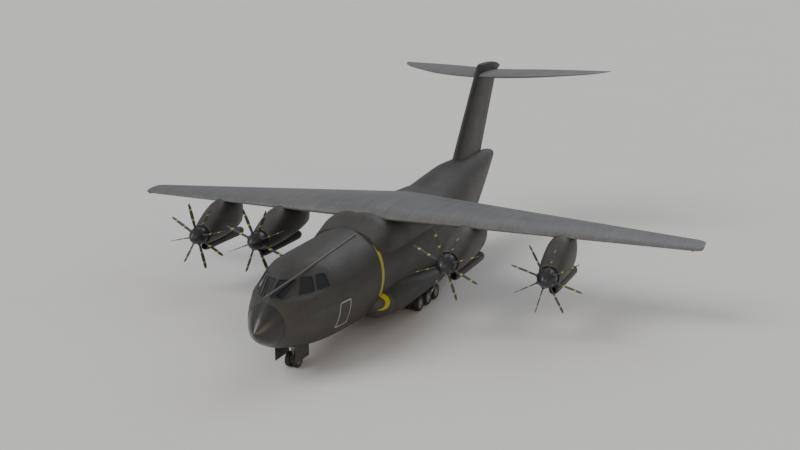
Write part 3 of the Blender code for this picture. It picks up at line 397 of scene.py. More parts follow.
def linear(hex_colour: str) -> tuple[float, float, float, float]:
    """Linear colour of an sRGB hex value."""
    parts = [int(hex_colour[i:i + 2], 16) / 255 for i in (1, 3, 5)]
    return (*[p / 12.92 if p <= 0.04045 else ((p + 0.055) / 1.055) ** 2.4 for p in parts], 1.0)


def node(tree: Tree, kind: str, feeds: dict | None = None, **settings) -> bpy.types.Node:
    """Add a node with its settings, values and links.

    Args:
        tree: Tree of the material.
        kind: Node type without its ShaderNode prefix.
        feeds: Value or output for each input.
        settings: Attributes of the node.

    Returns:
        The node.
    """
    made = tree.nodes.new("ShaderNode" + kind)
    for key, value in settings.items():
        setattr(made, key, value)
    for key, value in (feeds or {}).items():
        if isinstance(value, bpy.types.NodeSocket):
            tree.links.new(value, made.inputs[key])
        else:
            made.inputs[key].default_value = value
    return made


def sums(tree: Tree, operation: str, *values) -> Socket:
    """Result of a Math node on values in order."""
    return node(tree, "Math", dict(enumerate(values)), operation=operation).outputs[0]


def vectors(tree: Tree, operation: str, *values) -> Socket:
    """Result of a Vector Math node on values in order."""
    made = node(tree, "VectorMath", dict(enumerate(values)), operation=operation)
    return made.outputs["Value" if operation == "LENGTH" else 0]


def spread(tree: Tree, value: Socket, low: float, high: float, first: float, last: float) -> Socket:
    """Value between first and last, as it goes from low to high."""
    return node(tree, "MapRange", {0: value, 1: low, 2: high, 3: first, 4: last}).outputs[0]


def mixed(tree: Tree, share: Socket | float, base: Socket | tuple, over: Socket | tuple,
          blend: str = "MIX") -> Socket:
    """Colour with another laid over it by a share."""
    return node(tree, "Mix", {0: share, 6: base, 7: over}, data_type="RGBA", blend_type=blend).outputs[2]


@dataclass(frozen=True)
class Finish:
    """Surface with patches of an aged colour and a fine grain; sizes in metres of the model."""

    name: str
    colour: str
    aged: str
    roughness: float
    metallic: float = 0.0
    patch: float = 0.7
    grain: float = 0.02
    relief: float = 0.001
    coat: float = 0.0

    def material(self) -> bpy.types.Material:
        """Material of the finish, made once."""
        return bpy.data.materials.get(self.name) or self.make()

    def make(self) -> bpy.types.Material:
        """Build the nodes."""
        made = bpy.data.materials.new(self.name)
        made.use_nodes = True
        tree = made.node_tree
        shader = tree.nodes["Principled BSDF"]
        place = node(tree, "TexCoord").outputs["Object"]
        patches = node(tree, "TexNoise", {"Vector": place, "Scale": 1 / self.patch, "Detail": 6.0,
                                          "Roughness": 0.62}).outputs["Fac"]
        share = spread(tree, patches, 0.35, 0.68, 0.0, 1.0)
        base = mixed(tree, share, linear(self.colour), linear(self.aged))
        grain = node(tree, "TexNoise", {"Vector": place, "Scale": 1 / self.grain, "Detail": 3.0}).outputs["Fac"]
        both = sums(tree, "ADD", patches, grain)
        rough = spread(tree, both, 0.7, 1.3, self.roughness - 0.07, self.roughness + 0.09)
        relief = node(tree, "Bump", {"Height": grain, "Distance": self.relief, "Strength": 0.35}).outputs[0]
        shader.inputs["Metallic"].default_value = self.metallic
        shader.inputs["Coat Weight"].default_value = self.coat
        shader.inputs["Coat Roughness"].default_value = 0.25
        base, rough, relief = self.pattern(tree, place, base, rough, relief)
        tree.links.new(base, shader.inputs["Base Color"])
        tree.links.new(rough, shader.inputs["Roughness"])
        tree.links.new(relief, shader.inputs["Normal"])
        self.finish(shader)
        return made

    def pattern(self, tree: Tree, place: Socket, base: Socket, rough: Socket,
                relief: Socket) -> tuple[Socket, Socket, Socket]:
        """Colour, roughness and relief with the finish's own pattern; plain by default."""
        return base, rough, relief

    def finish(self, shader: bpy.types.Node) -> None:
        """Set what else the shader needs; nothing by default."""


@dataclass(frozen=True)
class Paint(Finish):
    """Matt polyurethane over riveted skin panels: seams, small shifts of shade, streaks aft."""

    panel: tuple[float, float] = (1.6, 0.95)
    seam: float = 0.028
    depth: float = 0.30

    def pattern(self, tree: Tree, place: Socket, base: Socket, rough: Socket,
                relief: Socket) -> tuple[Socket, Socket, Socket]:
        """Add seams that follow the skin, dirt streaks along the airflow, and any markings."""
        follow = node(tree, "TexCoord").outputs["UV"]
        bricks = node(tree, "TexBrick", {"Vector": follow, "Scale": 1.0, "Mortar Size": self.seam,
                                         "Mortar Smooth": 0.4, "Brick Width": self.panel[0],
                                         "Row Height": self.panel[1], "Bias": 0.0,
                                         "Color1": (1, 1, 1, 1), "Color2": (0.90, 0.90, 0.90, 1),
                                         "Mortar": (1 - self.depth,) * 3 + (1,)}, offset=0.0)
        long_way = node(tree, "Mapping", {"Vector": place, "Scale": (2.4, 0.30, 2.4)}).outputs[0]
        streaks = node(tree, "TexNoise", {"Vector": long_way, "Scale": 1.6, "Detail": 7.0,
                                          "Roughness": 0.7}).outputs["Fac"]
        dirt = spread(tree, streaks, 0.38, 0.66, 0.86, 1.10)
        panels = mixed(tree, 1.0, base, bricks.outputs["Color"], "MULTIPLY")
        base = mixed(tree, 1.0, panels, dirt, "MULTIPLY")
        relief = node(tree, "Bump", {"Height": bricks.outputs["Fac"], "Distance": 0.002, "Strength": 0.5,
                                     "Normal": relief}, invert=True).outputs[0]
        return self.mark(tree, place, base), rough, relief

    def mark(self, tree: Tree, place: Socket, base: Socket) -> Socket:
        """Colour with any painted markings; none by default."""
        return base


@dataclass(frozen=True)
class MarkedPaint(Paint):
    """Hull paint with the white outline of the entrance door and the yellow propeller stripe.

    The line and the stripe are half widths. The stripe passes its middle, as station and height,
    at a lean aft for each metre up, between its two heights.
    """

    white: str = "#a9aaa6"
    yellow: str = "#a6a32e"
    line: float = 0.032
    stripe: float = 0.17
    middle: tuple = (10.95, 3.36)
    lean: float = 0.22
    heights: tuple = (2.85, 6.02)
    soft: float = 0.006

    def mark(self, tree: Tree, place: Socket, base: Socket) -> Socket:
        """Lay the two markings over the paint, with soft edges."""
        middle, half, corner = Doorway.outline()
        away = vectors(tree, "ABSOLUTE", vectors(tree, "SUBTRACT", place, middle))
        away = vectors(tree, "MAXIMUM", vectors(tree, "SUBTRACT", away, half), (0, 0, 0))
        edge = vectors(tree, "LENGTH", vectors(tree, "MULTIPLY", away, (0, 1, 1)))
        x, y, z = node(tree, "SeparateXYZ", {0: place}).outputs
        port = sums(tree, "GREATER_THAN", x, 0.3)
        outline = sums(tree, "MULTIPLY", self.band(tree, edge, corner, self.line), port)
        station, height = self.middle
        foot = (station - self.lean * height - MIDDLE) * SCALE
        ring = self.band(tree, sums(tree, "MULTIPLY_ADD", z, -self.lean, y), foot, self.stripe)
        for limit, side in zip(self.heights, ("GREATER_THAN", "LESS_THAN")):
            ring = sums(tree, "MULTIPLY", ring, sums(tree, side, z, limit * SCALE))
        base = mixed(tree, outline, base, linear(self.white))
        return mixed(tree, ring, base, linear(self.yellow))

    def band(self, tree: Tree, value: Socket, middle: float, half: float) -> Socket:
        """Share of a soft band about a value; the half width is real."""
        away = sums(tree, "ABSOLUTE", sums(tree, "SUBTRACT", value, middle))
        return spread(tree, away, half * SCALE, half * SCALE + self.soft, 1.0, 0.0)


@dataclass(frozen=True)
class CrescentPaint(Paint):
    """Sponson paint with the yellow crescent on the nose, between two circles seen from the side.

    A circle is its station, height and radius.
    """

    yellow: str = "#a8a205"
    outer: tuple = (10.826, 2.500, 0.575)
    inner: tuple = (10.573, 2.455, 0.455)
    soft: float = 0.004

    def mark(self, tree: Tree, place: Socket, base: Socket) -> Socket:
        """Fill what lies inside the first circle and outside the second."""
        share = None
        for (station, height, radius), first, last in ((self.outer, 1.0, 0.0), (self.inner, 0.0, 1.0)):
            away = vectors(tree, "SUBTRACT", place, tuple(spot(0, station, height)))
            away = vectors(tree, "LENGTH", vectors(tree, "MULTIPLY", away, (0, 1, 1)))
            part = spread(tree, away, radius * SCALE - self.soft, radius * SCALE + self.soft, first, last)
            share = part if share is None else sums(tree, "MULTIPLY", share, part)
        return mixed(tree, share, base, linear(self.yellow))


@dataclass(frozen=True)
class Glass(Finish):
    """Coated windscreen glass: dark, smooth, a little clear."""

    clear: float = 0.45

    def finish(self, shader: bpy.types.Node) -> None:
        """Let some light through."""
        shader.inputs["Transmission Weight"].default_value = self.clear
        shader.inputs["IOR"].default_value = 1.5


@dataclass(frozen=True)
class BladeFinish(Finish):
    """Composite blade with two yellow bands and a lighter tip, by an attribute of reach.

    A band is its middle and half width as shares of the blade's reach, and its colour.
    """

    bands: tuple = ((0.505, 0.025, "#b0a93c"), (0.81, 0.028, "#b0a93c"), (1.0, 0.05, "#4d4f52"))
    soft: float = 0.004

    def pattern(self, tree: Tree, place: Socket, base: Socket, rough: Socket,
                relief: Socket) -> tuple[Socket, Socket, Socket]:
        """Lay the bands over the blade where the reach says."""
        reach = node(tree, "Attribute", attribute_name="reach").outputs["Fac"]
        for middle, half, colour in self.bands:
            away = sums(tree, "ABSOLUTE", sums(tree, "SUBTRACT", reach, middle))
            band = spread(tree, away, half, half + self.soft, 1.0, 0.0)
            base = mixed(tree, band, base, linear(colour))
        return base, rough, relief


# Matt grey polyurethane, sprayed: a soft, even, dusty grey with faint panel seams.
HULL_PAINT = Paint("matt_polyurethane_grey", "#403e3c", "#464441", 0.50)
MARKED_PAINT = MarkedPaint("matt_polyurethane_marked", "#3c3a37", "#42403c", 0.50)
POD_PAINT = CrescentPaint("matt_polyurethane_crescent", "#3c3a37", "#42403c", 0.50)
# Painted light: the wing, the tailplane and their moving surfaces take the hull's grey made lighter and cooler,
# standing in for the light that their upper faces catch.
LIT_WING_PAINT = Paint("matt_polyurethane_wing", "#666768", "#6e6e6e", 0.48, panel=(1.45, 0.80))
# Painted shade: the fin, its cap and its rudder take the hull's grey made darker, standing in for less light on
# the fin's side.
SHADED_FIN_PAINT = Paint("matt_polyurethane_fin", "#2d2c2b", "#32312f", 0.50, panel=(1.45, 0.80))
# Rain-erosion coat on the glass-fibre radome: darker and smoother than the paint round it.
RADOME_COAT = Finish("rain_erosion_coat", "#191816", "#1f1d1b", 0.42, patch=0.5, coat=0.5)
WINDSCREEN = Glass("coated_windscreen_glass", "#2b2e34", "#2f3238", 0.10, grain=0.3, relief=0.0)
PROBE_PAINT = Finish("probe_tube_paint", "#5e5d5a", "#555450", 0.42, patch=0.3)
SEALANT = Finish("polysulphide_sealant", "#1d1d1e", "#262627", 0.6)
BLADE = BladeFinish("composite_blade_paint", "#3a3b3e", "#434447", 0.56)
SPINNER = Finish("spinner_semi_gloss_paint", "#343437", "#3c3b3d", 0.36, metallic=0.5, coat=0.15)
TYRE = Finish("tyre_rubber", "#201f1e", "#33312e", 0.82, patch=0.15, grain=0.008)
WHEEL = Finish("enamelled_wheel_casting", "#8d8f8c", "#7a7b78", 0.42, metallic=0.3, patch=0.1)
GEAR_PAINT = Finish("gear_enamel", "#8f918e", "#7c7e7b", 0.40, metallic=0.2, patch=0.3)
CHROME = Finish("hard_chrome_plate", "#c9cacb", "#bcbdbe", 0.18, metallic=1.0, patch=0.2)
PRIMER = Finish("bay_primer", "#7b7d74", "#6a6c63", 0.6, patch=0.4)
FLOOR_METAL = Finish("anodised_floor_plate", "#6f7172", "#5c5d5e", 0.45, metallic=0.7, patch=0.5)
TRIM = Finish("cabin_trim", "#3c3f42", "#46494c", 0.7, patch=0.3)
HOT_STEEL = Finish("heat_stained_steel", "#4a413a", "#5d5048", 0.38, metallic=0.9, patch=0.15)
CAST = Finish("engine_casting", "#6b6b68", "#575754", 0.5, metallic=0.6, patch=0.2)
LAMP_CLEAR = Glass("clear_lamp_glass", "#d9dee0", "#cfd4d6", 0.08, clear=0.5, relief=0.0)
LAMP_RED = Glass("red_lamp_glass", "#8a1712", "#7a1410", 0.12, clear=0.3, relief=0.0)
LAMP_GREEN = Glass("green_lamp_glass", "#12703a", "#0f6333", 0.12, clear=0.3, relief=0.0)


def dress(obj: Shape, finish: Finish, body: str, slot: str, *nodes: str, angle: float = 34) -> Shape:
    """Give a finished piece its material, shading and body.

    Args:
        obj: The piece.
        finish: Its finish.
        body: Body that carries it.
        slot: Material slot of the record; not used.
        nodes: CAD nodes that it stands for.
        angle: Edges sharper than this, in degrees, stay sharp.

    Returns:
        The piece.
    """
    obj.data.materials.clear()
    obj.data.materials.append(finish.material())
    select_only(obj)
    bpy.ops.object.shade_smooth_by_angle(angle=radians(angle))
    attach(obj, body)
    if nodes:
        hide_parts(*nodes)
    LOG.info("%s: %d faces", obj.name, len(obj.data.polygons))
    return obj


# The aircraft

class Doorway:
    """Edges of the entrance door, as station and height."""

    FRONT, REAR = 5.60, 6.72
    SILL, HEAD = 2.40, 4.05
    CORNER = 0.16

    @classmethod
    def outline(cls) -> tuple[tuple, tuple, float]:
        """Middle, half size within its corners, and corner of the painted outline, in the model."""
        front, rear, sill, head = cls.FRONT - 0.06, cls.REAR - 0.04, cls.SILL - 0.02, cls.HEAD - 0.09
        middle = tuple(spot(0, (front + rear) / 2, (sill + head) / 2))
        corner = cls.CORNER * SCALE
        return middle, (0, (rear - front) / 2 * SCALE - corner, (head - sill) / 2 * SCALE - corner), corner


@dataclass
class Hull:
    """Fuselage with its radome, windows, doors and probe.

    The brow is the flatter area round the windscreen: the skin beyond a plane is pressed towards
    it, from a height and a station on, each over its fade. The crease is the ridge up the middle:
    its height and reach across, and the stations that it grows from, fades from and fades over.
    A row is station, half width, bottom, top, and the power of the lower and the upper curve.
    """

    wall: float = 0.15
    sides: int = 112
    nose_joint: float = 1.38
    seam: float = 0.012
    centre_start: float = 8.0
    centre_end: float = 26.5
    tail_end: float = 40.0
    brow_end: float = 7.0
    brow_point: tuple = (0.0, 2.93, 5.96)
    brow_normal: tuple = (0.665, -0.495, 0.559)
    brow_depth: float = 0.35
    brow_height: tuple = (4.85, 0.4)
    brow_station: tuple = (1.4, 0.5)
    brow_ridge: float = 0.25
    crease: tuple = (0.055, 0.40)
    crease_ends: tuple = (0.6, 2.0, 1.5)
    crease_floor: float = 3.6
    rows: tuple = (
        (0.00, 0.04, 3.43, 3.51, 2.0, 2.0), (0.35, 0.45, 3.03, 3.93, 2.0, 2.0),
        (0.80, 0.83, 2.66, 4.38, 2.0, 2.0), (1.38, 1.21, 2.34, 4.87, 2.0, 2.0),
        (2.00, 1.56, 2.05, 5.38, 2.0, 2.0), (2.81, 1.92, 1.79, 5.90, 2.0, 2.1),
        (4.00, 2.34, 1.45, 6.46, 2.0, 2.2), (5.00, 2.56, 1.24, 6.66, 2.0, 2.2),
        (6.50, 2.75, 1.04, 6.76, 2.0, 2.1), (8.00, 2.83, 0.93, 6.82, 2.0, 2.0),
        (9.50, 2.88, 0.88, 6.84, 2.0, 2.0), (14.00, 2.88, 0.87, 6.85, 2.5, 2.0),
        (23.00, 2.88, 0.87, 6.85, 3.0, 2.0), (26.50, 2.70, 0.87, 7.20, 3.6, 2.0),
        (28.00, 2.50, 1.35, 7.40, 3.6, 2.0), (30.50, 2.08, 2.45, 7.66, 3.6, 2.0),
        (33.00, 1.68, 3.55, 7.60, 3.4, 2.0), (36.00, 1.20, 4.90, 7.45, 2.8, 2.0),
        (38.50, 0.72, 6.00, 7.30, 2.2, 2.0), (39.60, 0.45, 6.50, 7.15, 2.0, 2.0),
        (40.00, 0.15, 6.72, 6.98, 2.0, 2.0))
    windows: tuple = (
        ("front", ((0.08, 1.70, 5.13), (0.08, 2.80, 5.89), (0.95, 3.30, 5.94), (0.72, 1.97, 5.17))),
        ("side", ((1.45, 2.79, 5.21), (1.12, 3.59, 5.99), (1.56, 4.17, 5.97), (1.94, 3.71, 5.23))),
        ("rear", ((2.05, 3.95, 5.24), (1.64, 4.45, 5.98), (1.87, 5.03, 5.92), (2.30, 4.91, 5.22))))
    pane_corner: float = 0.07
    pane_gap: float = 0.002
    seal_out: float = 0.035
    seal_in: float = 0.028
    probe: tuple = ((10.86, 1.04), (8.23, 1.17), (5.88, 1.25), (4.85, 1.23), (4.02, 1.13))
    probe_tip: tuple = (0.15, 0.91, 5.36)
    probe_radius: float = 0.06
    # Path of the wiper tube, whose dark strip also stands in for the window post's shadow (painted shadow).
    wiper: tuple = ((0.99, 3.22, 5.90), (0.93, 2.80, 5.66), (0.85, 2.35, 5.41), (0.77, 1.98, 5.17))
    bay: tuple = (3.40, 5.15, 0.58, 1.98)

    def __post_init__(self) -> None:
        """Make the table that the rings are read from."""
        self.table = Table(self.rows)

    def ring(self, station: float, inset: float = 0.0) -> Rings:
        """Ring of real places round the fuselage, inside its skin by an inset."""
        width, bottom, top, lower, upper = self.table.read(station)
        waist, half = (bottom + top) / 2, (top - bottom) / 2 - inset
        flat = oval(self.sides, width - inset, half, half, lower, upper)
        ring = upright(flat, 0.0, station, waist)
        if station < self.brow_end:
            self.press(ring, inset)
        return ring

    def press(self, ring: Rings, inset: float) -> None:
        """Flatten the ring inside the raised crease round the windscreen."""
        normal = np.asarray(self.brow_normal)
        folded = ring.copy()
        folded[:, 0] = np.abs(folded[:, 0])
        over = (folded - self.brow_point) @ normal + inset
        (low, rise), (start, run) = self.brow_height, self.brow_station
        fade = np.clip((folded[:, 2] - low) / rise, 0, 1) * np.clip((folded[:, 1] - start) / run, 0, 1)
        push = np.clip(over, 0, None) * self.brow_depth * fade
        side = np.where(ring[:, 0] < 0, -1.0, 1.0)
        middle = np.clip(np.abs(ring[:, 0]) / self.brow_ridge, 0, 1)
        ring[:, 0] -= side * push * normal[0] * middle
        ring[:, 1:] -= push[:, None] * normal[1:]
        height, reach = self.crease
        grown, fading, length = self.crease_ends
        station = folded[0, 1]
        share = min(1.0, station / grown) * (1 - min(1.0, max(0.0, (station - fading) / length)))
        ring[:, 2] += height * share * np.exp(-folded[:, 0] / reach) * (ring[:, 2] > self.crease_floor)

    def rings(self, start: float, end: float, inset: float = 0.0, spacing: float = 0.12) -> Rings:
        """Rings from one station to another."""
        return np.stack([self.ring(s, inset) for s in steps(start, end, spacing)])

    def solid(self, name: str, start: float, end: float, inset: float = 0.0, spacing: float = 0.25) -> Shape:
        """Closed solid of the fuselage's form."""
        return skin(name, self.rings(start, end, inset, spacing))

    def crown(self, station: float, across: float) -> float:
        """Height of the upper skin."""
        width, bottom, top, _, upper = self.table.read(station)
        share = min(1.0, abs(across) / width)
        return (bottom + top) / 2 + (top - bottom) / 2 * (1 - share ** upper) ** (1 / upper)

    def half_width(self, station: float, height: float) -> float:
        """Distance across of the skin."""
        width, bottom, top, lower, upper = self.table.read(station)
        waist = (bottom + top) / 2
        power = upper if height > waist else lower
        return width * (1 - min(1.0, abs(height - waist) * 2 / (top - bottom)) ** power) ** (1 / power)

    def barrel(self, name: str, start: float, end: float, spacing: float) -> Shape:
        """Open barrel with its wall."""
        return wall(skin(name, self.rings(start, end, 0.0, spacing), caps=False), self.wall)

    def opening(self, corners: tuple, side: Side, grow: float, depth: tuple = (-0.6, 0.4)) -> Shape:
        """Tool with rounded corners through a window.

        Args:
            corners: Real corners in order.
            side: Side of the aircraft.
            grow: How far its outline is moved out.
            depth: Its two ends along the way out.

        Returns:
            The tool.
        """
        spots = np.asarray([(side.value * x, s, z) for x, s, z in corners])
        middle = spots.mean(0)
        normal = np.cross(spots[2] - spots[0], spots[3] - spots[1])
        normal /= np.linalg.norm(normal)
        if normal @ (middle - (0, middle[1] + 0.4, 3.9)) < 0:
            normal = -normal
        flat = spots - np.outer((spots - middle) @ normal, normal)
        outline = []
        radius = self.pane_corner + grow
        for i, point in enumerate(flat):
            back = flat[i - 1] - point
            ahead = flat[(i + 1) % 4] - point
            back /= np.linalg.norm(back)
            ahead /= np.linalg.norm(ahead)
            half = np.arccos(back @ ahead) / 2
            inward = (back + ahead) / np.linalg.norm(back + ahead)
            corner = point - inward * grow / sin(half)
            centre = corner + inward * radius / sin(half)
            first = corner + back * radius / tan(half) - centre
            last = corner + ahead * radius / tan(half) - centre
            for k in range(6):
                way = first + (last - first) * k / 5
                outline.append(centre + way / np.linalg.norm(way) * radius)
        outline = np.asarray(outline)
        return prism(outline + normal * depth[0], outline + normal * depth[1])

    def build_shells(self) -> None:
        """Make the radome and the barrels, and cut what opens in them."""
        start = self.nose_joint - self.seam
        radome = skin("radome_shell", self.rings(0.0, start, 0.0, 0.05))
        dress(radome, RADOME_COAT, "root", "radome_paint", "radome", angle=50)
        rings = self.rings(start, self.nose_joint, self.seam, self.seam / 2)
        band = wall(skin("radome_seam", rings, caps=False), 0.03)
        dress(band, SEALANT, "root", "radome_paint")
        nose = self.barrel("nose_shell", self.nose_joint, self.centre_start - REST, 0.09)
        self.build_windows(nose)
        front, rear, half, top = self.bay
        trim(nose, block("bay_opening", (-half, front, 0.4), (half, rear, top), 0))
        self.build_door(nose)
        self.nose_bulkhead()
        dress(nose, MARKED_PAINT, "root", "hull_paint", "fuselage_nose")
        centre = self.barrel("centre_shell", self.centre_start, self.centre_end - REST, 0.3)
        dress(centre, MARKED_PAINT, "root", "hull_paint", "fuselage_centre")

    def nose_bulkhead(self) -> None:
        """Pressure wall behind the radome."""
        disc = skin("radome_bulkhead", self.rings(self.nose_joint + 0.02, self.nose_joint + 0.10,
                                                  self.wall + 0.004, 0.08))
        dress(disc, PRIMER, "root", "cabin_trim")

    def build_windows(self, nose: Shape) -> None:
        """Cut the six windows, and set a pane and a seal in each."""
        for name, corners in self.windows:
            for side in Side:
                label = f"{name}_{side.label}"
                start = min(c[1] for c in corners) - 0.3
                end = max(c[1] for c in corners) + 0.3
                pane = wall(skin(f"pane_{label}", self.rings(start, end, 0.02, 0.06), caps=False), 0.05)
                seal = wall(skin(f"seal_{label}", self.rings(start, end, -0.008, 0.06), caps=False), 0.06)
                trim(nose, self.opening(corners, side, 0.0))
                trim(pane, self.opening(corners, side, -self.pane_gap), Cut.WITHIN)
                trim(seal, self.opening(corners, side, self.seal_out), Cut.WITHIN)
                trim(seal, self.opening(corners, side, -self.seal_in, (-0.7, 0.5)))
                dress(pane, WINDSCREEN, "root", "cockpit_glass", f"window_{label}")
                dress(seal, SEALANT, "root", "cabin_trim")

    def build_door(self, nose: Shape) -> None:
        """Entrance door with its hinge rod."""
        door = self.barrel("door_skin", Doorway.FRONT - 0.4, Doorway.REAR + 0.4, 0.06)
        axis = Doorway.SILL + 0.01
        trim(door, block("cut", (1.0, Doorway.FRONT + 0.047, axis + 0.004),
                         (3.4, Doorway.REAR - 0.014, Doorway.HEAD - 0.014), 0), Cut.WITHIN)
        trim(nose, block("cut", (1.0, Doorway.FRONT, axis - 0.047), (3.4, Doorway.REAR, Doorway.HEAD), 0))
        dress(door, MARKED_PAINT, "crew_door", "hull_paint", "crew_door")
        ends = [spot(self.half_width(s, axis), s, axis) for s in (Doorway.FRONT - 0.08, Doorway.REAR + 0.08)]
        dress(rod("door_hinge_rod", *ends, 0.034), CHROME, "crew_door", "gear_steel")

    def build_probe(self) -> None:
        """Refuelling probe: a light tube along the crown, with its nozzle."""
        places = [(x, s, self.crown(s, x) + self.probe_radius * 0.6) for s, x in self.probe]
        tip = np.asarray(self.probe_tip)
        last = np.asarray(places[-1])
        neck = last + (tip - last) * 0.86
        places += [tuple(last + (tip - last) * 0.3), tuple(neck)]
        pipe = tube("probe_pipe", places, self.probe_radius, 5)
        dress(pipe, PROBE_PAINT, "root", "hull_paint", "refuelling_probe")
        line = Vector(tip - neck)
        nozzle = turned("probe_nozzle", ((0.0, 0.0), (0.0, 0.062), (0.10, 0.062), (0.14, 0.075), (0.24, 0.075),
                                         (0.27, 0.05), (0.45, 0.045), (line.length, 0.02), (line.length, 0.0)),
                        spot(*neck), tuple(line), 24)
        dress(nozzle, PROBE_PAINT, "root", "hull_paint")

    def build_wiper(self) -> None:
        """Parked wipers along the outer edges of the front windows, in dark sealant: the dark strip is partly
        the wiper and partly a painted shadow of the window post.
        """
        for side in Side:
            places = [(side.value * x, s, z) for x, s, z in self.wiper]
            blade = tube(f"wiper_{side.label}", places, 0.035)
            dress(blade, SEALANT, "root", "cabin_trim")


@dataclass
class CargoDoors:
    """Rear barrel with the loading ramp and the upper door, on their hinge pins.

    The hinge, the ramp's tip and the upper door's rear are a station and a height each.
    """

    hull: Hull
    hinge: tuple = (27.30, 1.436)
    nose: float = 0.31
    tip: tuple = (32.50, 3.33)
    depth: float = 0.42
    half_front: float = 1.68
    half_rear: float = 1.15
    swing: float = 33.0
    door_rear: tuple = (37.60, 5.604)
    door_depth: float = 0.28
    door_half: float = 0.58
    run: float = 0.02
    side_run: float = 0.035
    below: float = 1.5
    treads: tuple = (-0.95, -0.35, 0.35, 0.95)
    tread_form: tuple = ((-0.2, -0.01), (0.2, -0.01), (0.19, 0.02), (-0.19, 0.02))

    def profile(self, gap: float) -> tuple[list, float]:
        """Side outline of the ramp, larger by a gap, and the station of its upper tip."""
        station, height = self.hinge
        radius = self.nose + gap
        tip_station, tip_low = self.tip
        tip_top = tip_low + self.depth
        arm = hypot(tip_station - station, tip_low - height)
        back = station + sqrt(arm ** 2 - (tip_top - height) ** 2)
        slope = (tip_station - back) / (tip_top - tip_low)
        points = [(back - slope * gap + gap, tip_top + gap)]
        end = 270.0
        if gap:
            lip = self.nose * tan(radians(self.swing) / 2) + gap
            end = 180 + degrees(atan2(sqrt(radius ** 2 - lip ** 2), lip))
        for k in range(19):
            angle = radians(90 + (end - 90) * k / 18)
            points.append((station + radius * cos(angle), height + radius * sin(angle)))
        points.append((points[-1][0], height - self.below))
        points.append((tip_station + slope * (tip_low - height + self.below) + gap, height - self.below))
        return points, back

    @staticmethod
    def wedge(outline: list, halves: tuple, span: tuple) -> Shape:
        """Tool over a side outline whose half width tapers from front to rear."""
        (first, last), (start, end) = halves, span
        flanks = [[(side * (first + (last - first) * (s - start) / (end - start)), s, z) for s, z in outline]
                  for side in (-1, 1)]
        return prism(*np.asarray(flanks))

    def build(self) -> None:
        """Make the barrel and both doors."""
        rings = (self.hull.rings(self.hull.centre_end, 39.6, 0.0, 0.2),
                 self.hull.rings(39.64, self.hull.tail_end, 0.0, 0.06))
        rear = wall(skin("rear_shell", np.concatenate(rings), caps=False), self.hull.wall)
        station = self.hinge[0]
        outline, back = self.profile(0.0)
        opening, _ = self.profile(self.run)
        halves = (self.half_front, self.half_rear)
        ramp = self.hull.solid("ramp_leaf", station - 0.6, 34.5)
        trim(ramp, self.wedge(outline, halves, (station, self.tip[0])), Cut.WITHIN)
        wide = tuple(h + self.side_run for h in halves)
        trim(rear, self.wedge(opening, wide, (station, self.tip[0])))
        dress(ramp, HULL_PAINT, "cargo_ramp", "hull_paint", "cargo_ramp")
        pins = [rod("ramp_pin", spot(side * (self.half_front + 0.14), station, self.hinge[1]),
                    spot(side * (self.half_front - 0.1), station, self.hinge[1]), 0.05) for side in (-1, 1)]
        dress(join("ramp_hinge_pins", pins), CHROME, "cargo_ramp", "gear_steel")
        treads = [self.tread(across, back) for across in self.treads]
        dress(join("ramp_treads", treads), FLOOR_METAL, "cargo_ramp", "cabin_floor")

        tip_station, tip_low = self.tip
        tip_top = tip_low + self.depth
        lean = (tip_station - back) / (tip_top - tip_low)
        aft, low = self.door_rear
        top = low + self.door_depth
        front = self.run * 1.2
        under = tip_low - self.below
        shape = [(back + front, tip_top), (tip_station + lean * self.below + front, under),
                 (aft, under), (aft, top)]
        halves = (self.half_rear, self.door_half)
        door = self.hull.solid("upper_door_leaf", tip_station - 2.0, aft + 1.0)
        trim(door, self.wedge(shape, halves, (tip_station, aft)), Cut.WITHIN)
        dress(door, HULL_PAINT, "cargo_door", "hull_paint", "cargo_door")
        end = aft + 0.04 + self.run
        shape = [(back - 0.2, tip_top + self.run), (tip_station - 0.2, under), (end, under),
                 (end, top + 0.04 + self.run), (aft - 0.3, top + 0.04 + self.run)]
        wide = tuple(h + self.run for h in halves)
        trim(rear, self.wedge(shape, wide, (tip_station, aft)))
        dress(rear, HULL_PAINT, "root", "hull_paint", "fuselage_rear")
        tail = turned("tail_light", ((0.0, 0.0), (0.0, 0.07), (0.04, 0.07), (0.09, 0.04), (0.10, 0.0)),
                      spot(0, self.hull.tail_end, 6.85), (0, 1, 0), 16)
        dress(tail, LAMP_CLEAR, "root", "cockpit_glass")

    def tread(self, across: float, back: float) -> Shape:
        """One raised tread plate on the ramp's upper face."""
        station, height = self.hinge
        rise = (self.tip[1] + self.depth - height - self.nose) / (back - station)
        low, high = station + 0.2, back - 0.3
        plate = []
        for s in (low, high):
            z = height + self.nose + rise * (s - station)
            plate.append([(across + x, s, z + h) for x, h in self.tread_form])
        return skin("tread", np.asarray(plate))


def aerofoil(share: Rings) -> Rings:
    """Half thickness of a closed symmetric aerofoil at shares of its chord, 0.5 at its thickest."""
    return 5 * (0.2969 * np.sqrt(share) - 0.1260 * share - 0.3516 * share ** 2
                + 0.2843 * share ** 3 - 0.1036 * share ** 4)


